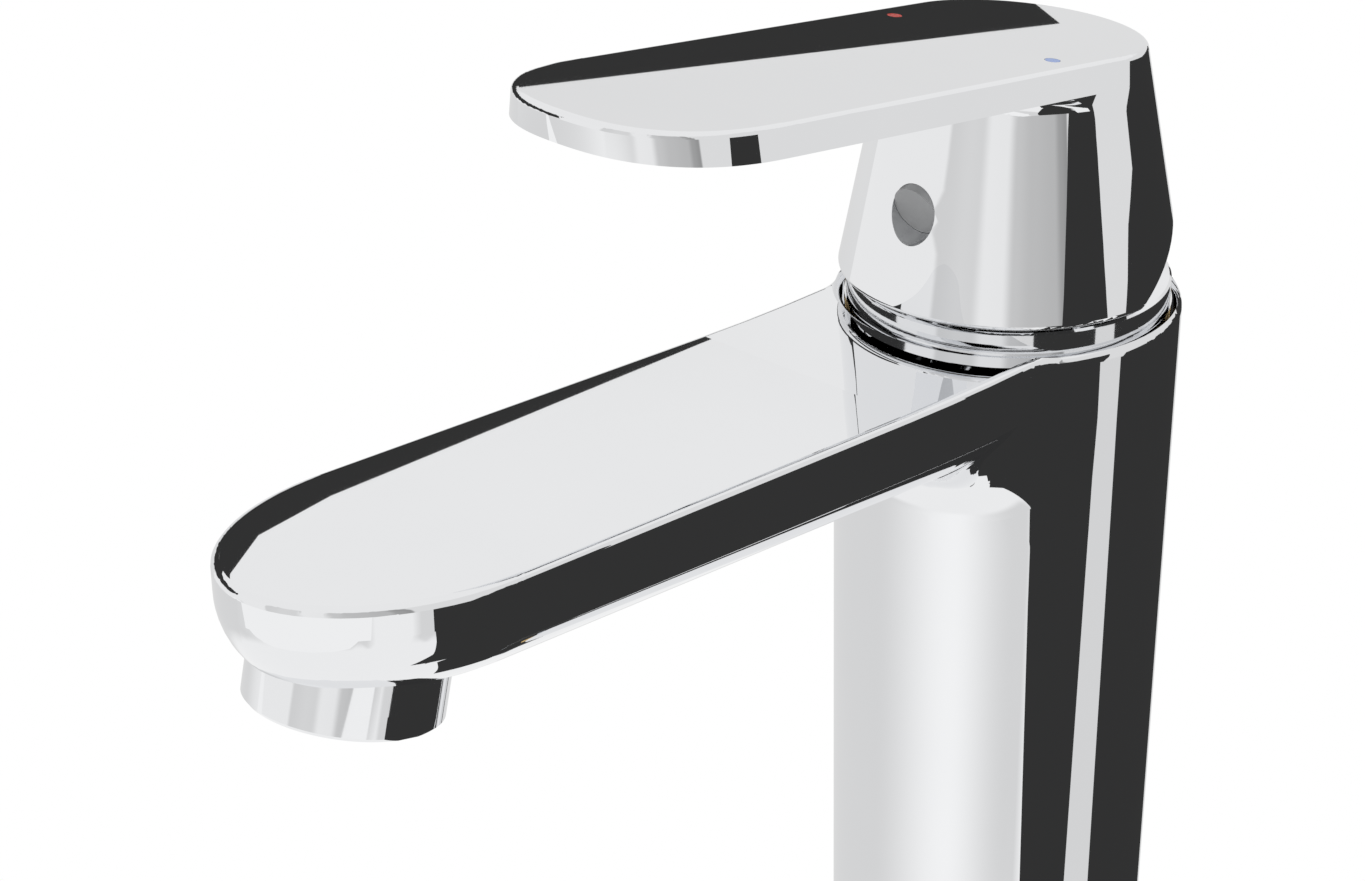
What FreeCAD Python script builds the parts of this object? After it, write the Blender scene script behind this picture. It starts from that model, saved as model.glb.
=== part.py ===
import FreeCAD
import Part
import math
import os

Vector = FreeCAD.Vector
Placement = FreeCAD.Placement
Rotation = FreeCAD.Rotation

# Single-lever basin mixer tap: millimetres, deck at height zero, spout towards -Y, +Z up

# Column and rim of the body casting
crease_height = 132.0
foot_taper = 1.35
rim_drop = 3.3
top_tilt = 3.35
top_bend_start = 18.0
top_bend_end = 42.0

# Spout of the body casting
spout_half_width = 18.5
spout_reach = 135.0
spout_tip_length = 27.0
spout_depth = 17.9
under_tilt = 4.08
under_round = 11.0
tip_share = 0.9
root_round = 9.0
root_share = 1.7
edge_round = 1.0
rim_round = 1.9
casting_wall = 2.6

# Recess that shows under the handle cap
recess_wall = 1.05
recess_land = 3.35
recess_depth = 10.0
lead_in = 2.5
lead_in_cross = 0.2

# Inlets, outlet and waterways inside the body
block_bottom = 52.0
hollow_wall = 3.2
seat_depth = 36.0
inlet_x = 7.5
inlet_y = -5.0
outlet_y = 1.5
port_radius = 3.0
inlet_thread_radius = 4.45
inlet_thread_length = 14.0
duct_half_width = 3.2
duct_height = 6.0
duct_roof = 3.0
riser_thickness = 2.6
riser_wall = 1.3
riser_angle = 22.0
waterway_start = 26.0
throat_half_width = 7.5

# Fixing kit under the deck
stud_radius = 3.95
stud_hole_radius = 4.0
stud_y = 11.0
stud_grip = 12.0
stud_length = 110.0
stud_standout = 4.0
gasket_thickness = 3.0
washer_thickness = 2.5
washer_radius = 24.0
washer_slot_half_width = 13.5
washer_slot_end = 3.5
nut_across_flats = 13.0
nut_height = 6.5
base_seal_width = 1.5
base_seal_height = 1.6

# Cartridge: a 35 mm class ceramic mixer, sealed in the chamber
cartridge_radius = 17.4
chamber_clearance = 0.2
housing_wall = 1.5
shoulder_depth = 3.5
housing_roof = 2.5
housing_skirt_depth = 31.0
neck_step = 4.4
neck_rise = 2.0
neck_wall = 2.05
running_fit = 0.05
slide_gap = 0.3
film_gap = 0.05
guide_rise = 9.0
guide_foot_overlap = 2.6
guide_foot_height = 2.7
guide_flange_overlap = 1.7
guide_flange_height = 2.0
slot_end_wall = 2.3
stop_lug_clearance = 0.4
stop_lug_angle = 9.0
stop_margin = 2.0
stop_width = 20.0
limiter_width = 2.75
limiter_height = 2.2
limiter_tab_height = 2.8
seal_height = 1.5
seal_land = 1.9
disc_thickness = 3.5
carrier_clearance = 0.52
carrier_height = 7.7
pocket_wall = 2.5
pocket_half_length = 4.5
pocket_depth = 2.0
pocket_offset = 0.6

# Retaining nut and collar round the cartridge
nut_thread_wall = 1.9
nut_thread_length = 5.0
nut_flange_height = 2.4
nut_tube_wall = 1.3
nut_top_depth = 1.0
nut_slot_width = 3.0
collar_clearance = 0.6
collar_top_depth = 0.7
collar_band_height = 2.9
collar_groove_height = 0.5
collar_groove_depth = 0.7
collar_ring_height = 1.3
collar_ring_proud = 0.2
dome_clearance = 2.0
dome_step = 0.5
dome_wall = 0.8
dome_crown = 1.0

# Lever stem and its pivot
pivot_height = 5.0
lift_angle = 25.0
swivel_angle = 45.0
stem_half_width = 4.0
stem_top = 25.0
stem_arm_half = 2.5
stem_drop = 16.0
ball_radius = 3.2
ball_clearance = 0.15
pin_radius = 1.5
pin_end_recess = 2.1
pivot_boss_radius = 3.6

# Handle: skirt cone, lever plate and what is inside them
skirt_overhang = 1.2
skirt_slope = 0.19
skirt_wall = 2.0
skirt_edge_round = 0.6
heel_start = 1.5
heel_angle = 30.0
lever_rise = 33.65
lever_tilt = 7.72
lever_thickness = 4.0
lever_tip_start = 64.4
lever_tip_length = 19.9
lever_tip_power = 2.47
lever_edge_round = 0.8
neck_round = 3.5
cavity_rise = 26.0
boss_radius = 8.5
boss_rise = 15.0
socket_fit = 0.05
plug_height = 13.35
plug_angle = 20.0
plug_radius = 3.55
plug_recess = 0.9
plug_length = 3.2
screw_hole_radius = 3.0
screw_radius = 2.95
screw_start = 7.5
screw_tip_radius = 1.0
screw_key_radius = 1.5
rib_radius = 5.5
index_edge = 3.8
index_y = -9.5
index_radius = 1.0
index_depth = 0.8

# Aerator in the spout's tip
aerator_y = -121.1
aerator_drop = 17.5
aerator_tilt = 14.4
aerator_radius = 11.93
aerator_fit = 0.07
aerator_exposed = 6.0
aerator_thread = 6.0
aerator_lip_radius = 9.3
aerator_bore_radius = 10.4
aerator_lip = 1.6
aerator_chamfer = 0.5
aerator_flat_depth = 0.6
aerator_flat_height = 3.2
aerator_washer_height = 1.2
aerator_boss_radius = 14.4
aerator_ledge = 1.6
facet_margin = 1.4
screen_height = 0.8
insert_height = 7.4

overcut = 1.0
far_side = 200.0

# Column, collar and cap, which follow from the cartridge that they enclose
chamber_radius = cartridge_radius + chamber_clearance
nut_tube_radius = chamber_radius + nut_tube_wall
nut_thread_radius = chamber_radius + nut_thread_wall
nut_bore_radius = nut_thread_radius + running_fit
recess_radius = nut_bore_radius + recess_land
rim_radius = recess_radius + recess_wall
base_radius = rim_radius - foot_taper
hollow_radius = base_radius - hollow_wall
seal_middle = (hollow_radius + base_radius) / 2
seal_half = base_seal_width / 2
collar_radius = recess_radius - collar_clearance
skirt_radius = collar_radius + skirt_overhang
dome_radius = skirt_radius - skirt_wall - dome_clearance

# Cartridge's inner pieces
disc_travel = stem_drop * math.sin(math.radians(lift_angle))
disc_centre_y = disc_travel / 2
carrier_radius = cartridge_radius - housing_wall - disc_centre_y - carrier_clearance
pocket_half_width = carrier_radius - pocket_wall
neck_radius = cartridge_radius - neck_step
nut_lip_radius = neck_radius + slide_gap
guide_radius = neck_radius - neck_wall - running_fit
guide_foot_radius = guide_radius + guide_foot_overlap
guide_flange_radius = guide_radius + guide_flange_overlap
slot_half_length = guide_radius - slot_end_wall
pin_half_length = guide_radius - pin_end_recess
limiter_radius = neck_radius + running_fit + limiter_width
stop_lug_radius = limiter_radius - stop_lug_clearance

# Heights and places that follow
rim_height = crease_height - rim_drop
seat_z = crease_height - seat_depth
recess_floor = crease_height - recess_depth
nut_bore_floor = recess_floor - nut_thread_length - slide_gap
nut_top = crease_height - nut_top_depth
hollow_top = block_bottom + inlet_thread_length
stud_top = block_bottom + stud_grip
washer_low = stud_top - stud_length + stud_standout + nut_height
gasket_low = washer_low + washer_thickness
deck_low = gasket_low + gasket_thickness
pivot_z = crease_height + pivot_height
ball_z = pivot_z - stem_drop
guide_bottom = crease_height - shoulder_depth - housing_roof - slide_gap - guide_foot_height
carrier_top = guide_bottom - slide_gap
carrier_bottom = carrier_top - carrier_height
moving_disc_bottom = carrier_bottom - disc_thickness
fixed_disc_top = moving_disc_bottom - film_gap
cartridge_base_top = fixed_disc_top - disc_thickness
bend_radius = (top_bend_end - top_bend_start) / 2 / math.tan(math.radians(top_tilt) / 2)
bend_end_run = bend_radius * math.sin(math.radians(top_tilt))
index_x = skirt_radius - skirt_slope * lever_rise - index_edge
facet_radius = aerator_radius + facet_margin


def top_z(y):
    """Height of the body's top: level round the cap, then rising gently to the spout's tip."""
    if y > -top_bend_start:
        return rim_height
    if y > -top_bend_start - bend_end_run:
        run = -top_bend_start - y
        return rim_height + bend_radius - math.sqrt(bend_radius**2 - run**2)
    middle = (top_bend_start + top_bend_end) / 2
    return rim_height - math.tan(math.radians(top_tilt)) * (y + middle)


def under_z(y):
    """Height of the spout's underside."""
    return rim_height - spout_depth - math.tan(math.radians(under_tilt)) * y


def column_radius(z):
    """Radius of the slightly tapered column."""
    return base_radius + (rim_radius - base_radius) * z / rim_height


def cone_radius(z):
    """Outer radius of the handle's skirt cone."""
    return skirt_radius - skirt_slope * (z - crease_height)


def lever_top_z(y):
    """Height of the lever's flat top."""
    return crease_height + lever_rise - math.tan(math.radians(lever_tilt)) * y


def lever_under_z(y):
    """Height of the lever plate's underside."""
    return lever_top_z(y) - lever_thickness


def disc(radius, low, high, x=0.0, y=0.0):
    """Upright cylinder between two heights."""
    return Part.makeCylinder(radius, high - low, Vector(x, y, low))


def tube(outer, inner, low, high, x=0.0, y=0.0):
    """Upright ring between two heights."""
    return disc(outer, low, high, x, y).cut(disc(inner, low - overcut, high + overcut, x, y))


def box(x0, x1, y0, y1, z0, z1):
    """Block between two corners."""
    return Part.makeBox(x1 - x0, y1 - y0, z1 - z0, Vector(x0, y0, z0))


def hexagon(corner_radius, low, high, y=0.0):
    """Upright hexagonal bar between two heights."""
    angles = [math.radians(60 * i) for i in range(6)]
    corners = [Vector(corner_radius * math.cos(a), y + corner_radius * math.sin(a), low) for a in angles]
    return Part.Face(Part.makePolygon(corners + corners[:1])).extrude(Vector(0, 0, high - low))


def turned(points):
    """Solid of revolution about Z from (radius, height) points."""
    corners = [Vector(r, 0, z) for r, z in points]
    face = Part.Face(Part.makePolygon(corners + corners[:1]))
    return face.revolve(Vector(0, 0, 0), Vector(0, 0, 1), 360)


def side_prism(points, half_width):
    """Solid with a (y, z) outline, extruded evenly both ways along X."""
    corners = [Vector(-half_width, y, z) for y, z in points]
    face = Part.Face(Part.makePolygon(corners + corners[:1]))
    return face.extrude(Vector(2 * half_width, 0, 0))


def above(height):
    """Block over a straight slope given as a function of y."""
    ends = (far_side, -far_side)
    low = [(y, height(y)) for y in ends]
    return side_prism(low + [(-far_side, 2 * far_side), (far_side, 2 * far_side)], far_side)


def above_top(drop):
    """Block over the body's top surface, lowered by a drop."""
    end_y = -top_bend_start - bend_end_run
    ys = (far_side, -top_bend_start, (end_y - top_bend_start) / 2, end_y, -far_side)
    rear, start, middle, end, front = [Vector(-far_side, y, top_z(y) - drop) for y in ys]
    roof = 2 * far_side
    edges = [
        Part.LineSegment(rear, start).toShape(),
        Part.Arc(start, middle, end).toShape(),
        Part.LineSegment(end, front).toShape(),
    ]
    corners = [front, Vector(-far_side, -far_side, roof), Vector(-far_side, far_side, roof), rear]
    edges += Part.makePolygon(corners).Edges
    face = Part.Face(Part.Wire(Part.__sortEdges__(edges)))
    return face.extrude(Vector(2 * far_side, 0, 0))


def sector(outer, inner, low, high, start, end):
    """Part of an upright ring between two angles, counted from +Y towards -X."""
    arc = Part.makeCylinder(outer, high - low, Vector(0, 0, low), Vector(0, 0, 1), end - start)
    arc.rotate(Vector(0, 0, 0), Vector(0, 0, 1), 90 + start)
    return arc.cut(disc(inner, low - overcut, high + overcut))


def points_on(edge, count=7):
    """Evenly spaced points along an edge."""
    first, last = edge.ParameterRange
    return [edge.valueAt(first + (last - first) * i / (count - 1)) for i in range(count)]


def edges_where(shape, test):
    """Edges of a shape whose every sampled point passes a test."""
    return [edge for edge in shape.Edges if all(test(p) for p in points_on(edge))]


def edge_is_across(edge):
    """Whether an edge runs straight along X."""
    spread = [p.y for p in points_on(edge)]
    return near(min(spread), max(spread))


def near(a, b):
    """Whether two lengths agree to a hundredth of a millimetre."""
    return abs(a - b) < 0.01


def save(name, shape):
    """Write one piece as a single solid."""
    solid = shape.removeSplitter()
    solid.Solids[0].exportStep("parts/" + name + ".step")


# Body casting: column, spout, recess and waterways
def spout_block(inset, root_y):
    """Spout-shaped block, drawn in from the outer skin by an inset."""
    half = spout_half_width - inset
    tip_y = inset - spout_reach
    side_y = spout_tip_length - spout_reach
    side = Vector(half, side_y, 0)
    other = Vector(-half, side_y, 0)
    tip = Vector(0, tip_y, 0)
    ellipse = Part.Ellipse(tip, side, Vector(0, side_y, 0))
    quarter = math.pi / 2
    edges = [
        Part.LineSegment(Vector(half, root_y, 0), side).toShape(),
        Part.Arc(ellipse, 0, quarter).toShape(),
        Part.Arc(ellipse, -quarter, 0).toShape(),
        Part.LineSegment(other, Vector(-half, root_y, 0)).toShape(),
        Part.LineSegment(Vector(-half, root_y, 0), Vector(half, root_y, 0)).toShape(),
    ]
    outline = Part.Wire(Part.__sortEdges__(edges))
    prism = Part.Face(outline).extrude(Vector(0, 0, 2 * crease_height))
    block = prism.common(above(lambda y: under_z(y) + inset))
    low = edges_where(block, lambda p: near(p.z, under_z(p.y) + inset))
    low = [edge for edge in low if not all(near(v.Y, root_y) for v in edge.Vertexes)]
    tip_curve = half**2 / (side_y - tip_y)
    return block.makeFillet(min(under_round - inset, tip_share * tip_curve), low)


def on_axis(shape):
    """Move a piece made along +Z onto the aerator's tilted axis."""
    place = Vector(0, aerator_y, crease_height - aerator_drop)
    shape.Placement = Placement(place, Rotation(Vector(1, 0, 0), -aerator_tilt))
    return shape


def casting():
    """Outer shape of the body: tapered column, spout, blends and soft edges."""
    over = 2 * crease_height
    column = Part.makeCone(base_radius, column_radius(over), over)
    shape = column.fuse(spout_block(0.0, 0.0)).removeSplitter()

    def on_join(p):
        return near(math.hypot(p.x, p.y), column_radius(p.z)) and p.y < -overcut and p.z > block_bottom

    joins = edges_where(shape, on_join)
    joins = [e for e in joins if not all(near(p.z, over) for p in points_on(e))]
    root = min(root_round, root_share * (rim_radius - spout_half_width))
    shape = shape.makeFillet(root, joins).cut(above_top(0.0))
    brim = edges_where(shape, lambda p: near(p.z, top_z(p.y)))
    brim = [e for e in brim if not edge_is_across(e)]
    return soften_brim(shape, brim)


def soften_brim(shape, brim):
    """Round the top edge all the way, more at the column's rim than along the spout."""
    document = FreeCAD.newDocument()
    base = document.addObject("Part::Feature")
    base.Shape = shape
    rounds = []
    for index, edge in enumerate(shape.Edges, start=1):
        if any(edge.isSame(other) for other in brim):
            ends = [edge_end_round(point) for point in (edge.valueAt(t) for t in edge.ParameterRange)]
            rounds.append((index, ends[0], ends[1]))
    feature = document.addObject("Part::Fillet")
    feature.Base = base
    feature.Edges = rounds
    document.recompute()
    return feature.Shape


def edge_end_round(point):
    """Rounding radius at one end of a top edge."""
    return rim_round if near(math.hypot(point.x, point.y), column_radius(point.z)) else edge_round


def lead_in_tool():
    """Ring that rounds the mouth of the recess."""
    middle_r = recess_radius + lead_in - lead_in_cross
    middle_z = rim_height - lead_in + lead_in_cross
    inner = recess_radius - overcut
    corner = math.sqrt(0.5) * lead_in
    start = Vector(middle_r - lead_in, 0, middle_z)
    middle = Vector(middle_r - corner, 0, middle_z + corner)
    end = Vector(middle_r, 0, middle_z + lead_in)
    top = rim_height + overcut
    corners = [end, Vector(middle_r, 0, top), Vector(inner, 0, top), Vector(inner, 0, middle_z), start]
    edges = [Part.Arc(start, middle, end).toShape()] + Part.makePolygon(corners).Edges
    face = Part.Face(Part.Wire(Part.__sortEdges__(edges)))
    return face.revolve(Vector(0, 0, 0), Vector(0, 0, 1), 360)


def make_body():
    """Body casting with its cartridge chamber, ports, riser, spout waterway and base."""
    over = crease_height + rim_drop
    duct_top = seat_z - duct_roof
    duct_low = duct_top - duct_height
    riser_inner = chamber_radius + riser_wall
    riser_outer = riser_inner + riser_thickness
    throat_low = under_z(-waterway_start) + casting_wall
    throat_top = nut_bore_floor - riser_wall
    shape = casting()
    cuts = [
        disc(recess_radius, recess_floor, over),
        lead_in_tool(),
        disc(nut_bore_radius, nut_bore_floor, over),
        disc(chamber_radius, seat_z, over),
        disc(hollow_radius, -overcut, hollow_top),
        disc(port_radius, duct_low, seat_z + overcut, 0, outlet_y),
        box(-duct_half_width, duct_half_width, -riser_outer, outlet_y + duct_half_width, duct_low, duct_top),
        sector(riser_outer, riser_inner, duct_low, throat_low, 180 - riser_angle, 180 + riser_angle),
        tube(seal_middle + seal_half, seal_middle - seal_half, -overcut, base_seal_height),
    ]
    for side in (-1, 1):
        cuts.append(disc(port_radius, hollow_top - overcut, seat_z + overcut, side * inlet_x, inlet_y))
    throat = [
        (-riser_inner, throat_low - riser_thickness),
        (-riser_inner, throat_top - riser_wall),
        (-waterway_start - overcut, throat_low + duct_height),
        (-waterway_start - overcut, throat_low),
        (-riser_outer, throat_low - riser_thickness),
    ]
    cuts.append(side_prism(throat, throat_half_width))
    boss_top = aerator_exposed + aerator_thread + aerator_ledge + aerator_washer_height
    boss = on_axis(disc(aerator_boss_radius, 0, boss_top))
    waterway = spout_block(casting_wall, -waterway_start).cut(above_top(casting_wall))
    cuts.append(waterway.cut(boss))
    bore_top = aerator_exposed + aerator_thread + aerator_washer_height
    cuts.append(on_axis(disc(aerator_radius + aerator_fit, 0, bore_top)))
    cuts.append(on_axis(disc(aerator_lip_radius, 0, boss_top + overcut)))
    cuts.append(on_axis(disc(facet_radius, -aerator_exposed, aerator_exposed)))
    for tool in cuts:
        shape = shape.cut(tool)
    return shape


# Foot: inlet manifold, stud, gasket, horseshoe washer, nut and base seal
def make_manifold():
    """Brass insert in the column's hollow, with both supply inlets and the stud's hole."""
    low = block_bottom - overcut
    shape = disc(hollow_radius - running_fit, block_bottom, hollow_top)
    for side in (-1, 1):
        shape = shape.cut(disc(inlet_thread_radius, low, hollow_top + overcut, side * inlet_x, inlet_y))
    return shape.cut(disc(stud_hole_radius, low, block_bottom + stud_grip + overcut, 0, stud_y))


def horseshoe(low, high):
    """Disc open at the front for the supply lines, with a hole for the stud."""
    plate = disc(washer_radius, low, high)
    half = washer_slot_half_width
    slot = box(-half, half, -2 * washer_radius, washer_slot_end, low - overcut, high + overcut)
    hole = disc(stud_hole_radius + slide_gap, low - overcut, high + overcut, 0, stud_y)
    return plate.cut(slot).cut(hole)


def make_stud_nut(top):
    """Hexagon nut on the stud."""
    low = top - nut_height
    shape = hexagon(nut_across_flats / math.sqrt(3), low, top, stud_y)
    return shape.cut(disc(stud_hole_radius, low - overcut, top + overcut, 0, stud_y))


# Cartridge: base, seals, ceramic discs, carrier, housing, guide and limiter
def port_places():
    """Centres of the hot, cold and outlet ports."""
    return {"hot": (-inlet_x, inlet_y), "cold": (inlet_x, inlet_y), "outlet": (0.0, outlet_y)}


def with_ports(shape, low, high):
    """Drill the three ports through a piece."""
    for x, y in port_places().values():
        shape = shape.cut(disc(port_radius, low - overcut, high + overcut, x, y))
    return shape


def make_cartridge_base():
    """Cartridge base with three seal pockets."""
    inner = cartridge_radius - housing_wall - running_fit
    step = crease_height - housing_skirt_depth
    shape = disc(cartridge_radius, seat_z, step).fuse(disc(inner, step, cartridge_base_top))
    shape = with_ports(shape, seat_z, cartridge_base_top)
    for x, y in port_places().values():
        pocket = disc(port_radius + seal_land, seat_z - overcut, seat_z + seal_height, x, y)
        shape = shape.cut(pocket)
    return shape


def make_moving_disc():
    """Upper ceramic disc with the mixing pocket in its underside."""
    top = moving_disc_bottom + disc_thickness
    shape = disc(carrier_radius, moving_disc_bottom, top, 0, disc_centre_y)
    middle = disc_centre_y + pocket_offset
    low = moving_disc_bottom - overcut
    high = moving_disc_bottom + pocket_depth
    straight = pocket_half_width - pocket_half_length
    pocket = box(-straight, straight, middle - pocket_half_length, middle + pocket_half_length, low, high)
    for side in (-1, 1):
        pocket = pocket.fuse(disc(pocket_half_length, low, high, side * straight, middle))
    return shape.cut(pocket)


def make_carrier():
    """Disc carrier with the slot that the stem's ball end works in."""
    shape = disc(carrier_radius, carrier_bottom, carrier_top, 0, disc_centre_y)
    reach = ball_radius + ball_clearance
    floor = ball_z - ball_radius - slide_gap
    return shape.cut(box(-reach, reach, -reach, reach, floor, carrier_top + overcut))


def make_housing():
    """Cartridge housing: cup, shoulder and neck."""
    inner = cartridge_radius - housing_wall
    shoulder = crease_height - shoulder_depth
    roof = shoulder - housing_roof
    bottom = crease_height - housing_skirt_depth
    bore = guide_radius + running_fit
    top = crease_height + neck_rise
    return turned(
        [
            (inner, bottom),
            (cartridge_radius, bottom),
            (cartridge_radius, shoulder),
            (neck_radius, shoulder),
            (neck_radius, top),
            (bore, top),
            (bore, roof),
            (inner, roof),
        ]
    )


def make_guide():
    """Swivel guide that carries the stem's pivot and turns in the housing's neck."""
    top = crease_height + guide_rise
    flange_low = crease_height + neck_rise + slide_gap
    flange_top = flange_low + guide_flange_height
    shape = disc(guide_radius, guide_bottom, top)
    shape = shape.fuse(disc(guide_foot_radius, guide_bottom, guide_bottom + guide_foot_height))
    shape = shape.fuse(disc(guide_flange_radius, flange_low, flange_top))
    lug = sector(stop_lug_radius, guide_radius, flange_low, flange_top, -stop_lug_angle, stop_lug_angle)
    shape = shape.fuse(lug)
    half = stem_half_width + ball_clearance
    slot = box(-half, half, -slot_half_length, slot_half_length, guide_bottom - overcut, top + overcut)
    raised_ball = pivot_z - stem_drop * math.cos(math.radians(lift_angle)) + ball_radius
    relief_top = raised_ball + slide_gap
    relief = box(-half, half, -2 * guide_foot_radius, 0, guide_bottom - overcut, relief_top)
    shape = shape.cut(slot).cut(relief)
    start = Vector(-guide_foot_radius, 0, pivot_z)
    return shape.cut(Part.makeCylinder(pin_radius, 2 * guide_foot_radius, start, Vector(1, 0, 0)))


def make_limiter():
    """Temperature limiter ring with a stop on each side of the guide's lug."""
    low = nut_top
    high = low + limiter_height
    inner = neck_radius + running_fit
    shape = tube(limiter_radius, inner, low, high)
    start = swivel_angle + stop_lug_angle + stop_margin
    tab_top = high + limiter_tab_height
    for first in (start, -start - stop_width):
        shape = shape.fuse(sector(limiter_radius, inner, low, tab_top, first, first + stop_width))
    return shape


def make_retaining_nut():
    """Threaded nut that presses the cartridge onto its seat."""
    thread_low = recess_floor - nut_thread_length
    flange_top = recess_floor + nut_flange_height
    shoulder = crease_height - shoulder_depth
    flange_radius = recess_radius - chamber_clearance - slide_gap
    inner = cartridge_radius + chamber_clearance
    shape = turned(
        [
            (inner, thread_low),
            (nut_thread_radius, thread_low),
            (nut_thread_radius, recess_floor),
            (flange_radius, recess_floor),
            (flange_radius, flange_top),
            (nut_tube_radius, flange_top),
            (nut_tube_radius, nut_top),
            (nut_lip_radius, nut_top),
            (nut_lip_radius, shoulder),
            (inner, shoulder),
        ]
    )
    half = nut_slot_width / 2
    slot_low = nut_top - nut_slot_width / 2
    slot_end = nut_tube_radius + overcut
    slot = box(limiter_radius + slide_gap, slot_end, -half, half, slot_low, nut_top + overcut)
    for quarter in range(4):
        turned_slot = slot.copy()
        turned_slot.rotate(Vector(0, 0, 0), Vector(0, 0, 1), 90 * quarter)
        shape = shape.cut(turned_slot)
    return shape


def make_collar():
    """Chromed collar in the body's recess, with a low dome over the cartridge's head."""
    inner = nut_tube_radius + running_fit
    bottom = recess_floor + nut_flange_height
    top = crease_height - collar_top_depth
    band_low = top - collar_band_height
    ring_top = band_low - collar_groove_height
    ring_low = ring_top - collar_ring_height
    groove = collar_radius - collar_groove_depth
    ring = collar_radius + collar_ring_proud
    tab_top = nut_top + limiter_height + limiter_tab_height
    flange_top = crease_height + neck_rise + slide_gap + guide_flange_height
    dome_low = max(tab_top, flange_top) + slide_gap
    shoulder = limiter_radius + slide_gap
    mouth = guide_radius + slide_gap
    return turned(
        [
            (inner, bottom),
            (groove, bottom),
            (groove, ring_low),
            (ring, ring_low),
            (ring, ring_top),
            (groove, ring_top),
            (groove, band_low),
            (collar_radius, band_low),
            (collar_radius, top - slide_gap),
            (collar_radius - slide_gap, top),
            (dome_radius, top + dome_step),
            (dome_radius - slide_gap, top + dome_step + slide_gap),
            (shoulder + dome_wall, dome_low),
            (shoulder, dome_low + dome_wall),
            (mouth, dome_low + dome_wall + dome_crown),
            (mouth, dome_low + dome_crown),
            (shoulder, dome_low),
            (inner, top),
        ]
    )


def make_stem():
    """Lever stem: square shank, pivot boss, arm and ball end."""
    half = stem_half_width
    shank = box(-half, half, -half, half, pivot_z, crease_height + stem_top)
    boss = Part.makeCylinder(pivot_boss_radius, 2 * half, Vector(-half, 0, pivot_z), Vector(1, 0, 0))
    arm = box(-stem_arm_half, stem_arm_half, -stem_arm_half, stem_arm_half, ball_z, pivot_z)
    ball = Part.makeSphere(ball_radius, Vector(0, 0, ball_z))
    shape = shank.fuse([boss, arm, ball])
    hole = pin_radius + running_fit
    return shape.cut(Part.makeCylinder(hole, 4 * half, Vector(-2 * half, 0, pivot_z), Vector(1, 0, 0)))


# Handle: skirt cone and lever plate in one casting, with screw, plug and index dots
def lever_outline(cone, height):
    """Lever plate's outline on a tilted plane: cone section, straight sides, squarish round tip."""
    planes = [face for face in cone.Faces if near(face.CenterOfMass.z, height(face.CenterOfMass.y))]
    ellipse = planes[0].OuterWire.Edges[0].Curve
    middle_y = ellipse.Center.y
    side = Vector(ellipse.MinorRadius, middle_y, height(middle_y))
    other = Vector(-ellipse.MinorRadius, middle_y, height(middle_y))
    start = ellipse.parameter(side)
    if ellipse.value(start + math.pi / 2).y > middle_y:
        rear = Part.Arc(ellipse, start, start + math.pi)
    else:
        rear = Part.Arc(ellipse, start - math.pi, start)
    steps = 16
    power = 2 / lever_tip_power
    points = []
    for i in range(steps + 1):
        angle = math.pi * i / steps
        x = ellipse.MinorRadius * math.copysign(abs(math.cos(angle)) ** power, math.cos(angle))
        reach = math.sin(angle) ** power if 0 < i < steps else 0.0
        y = -lever_tip_start - lever_tip_length * reach
        points.append(Vector(x, y, height(y)))
    forward = Vector(0, -1, math.tan(math.radians(lever_tilt)))
    tip = Part.BSplineCurve()
    tip.interpolate(Points=points, InitialTangent=forward, FinalTangent=forward * -1)
    edges = [
        Part.LineSegment(side, points[0]).toShape(),
        tip.toShape(),
        Part.LineSegment(points[-1], other).toShape(),
        rear.toShape(),
    ]
    return Part.Wire(Part.__sortEdges__(edges))


def neck_flare(radius):
    """Concave round between the skirt cone's front and the lever's underside."""
    centre = Vector(radius + neck_round, 0, -neck_round)
    corner = math.sqrt(0.5)
    start = Vector(radius + neck_round, 0, 0)
    middle = centre + Vector(-corner, 0, corner) * neck_round
    end = Vector(radius, 0, -neck_round)
    axis_low = Vector(0, 0, -neck_round)
    axis_top = Vector(0, 0, 0)
    outline = [Part.Arc(start, middle, end).toShape()]
    outline += Part.makePolygon([end, axis_low, axis_top, start]).Edges
    face = Part.Face(Part.Wire(Part.__sortEdges__(outline)))
    flare = face.revolve(Vector(0, 0, 0), Vector(0, 0, 1), 360)
    place = Vector(0, 0, lever_under_z(0))
    flare.Placement = Placement(place, Rotation(Vector(1, 0, 0), -lever_tilt))
    half = radius - lever_edge_round
    front = box(-half, half, -far_side, -boss_radius / 2, crease_height, crease_height + lever_rise * 2)
    return flare.common(front)


def on_screw_axis(shape):
    """Move a piece made along +Z onto the handle screw's axis, from the cone inwards."""
    z = crease_height + plug_height
    angle = math.radians(plug_angle)
    inward = Vector(0, math.cos(angle), math.sin(angle))
    shape.Placement = Placement(Vector(0, -cone_radius(z), z), Rotation(Vector(0, 0, 1), inward))
    return shape


def on_lever(shape, x, y):
    """Move a piece made along +Z onto the lever's top."""
    shape.Placement = Placement(Vector(x, y, lever_top_z(y)), Rotation(Vector(1, 0, 0), -lever_tilt))
    return shape


def screw_reach():
    """Distance along the screw's axis from the cone to the stem."""
    z = crease_height + plug_height
    return (cone_radius(z) - stem_half_width) / math.cos(math.radians(plug_angle))


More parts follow.
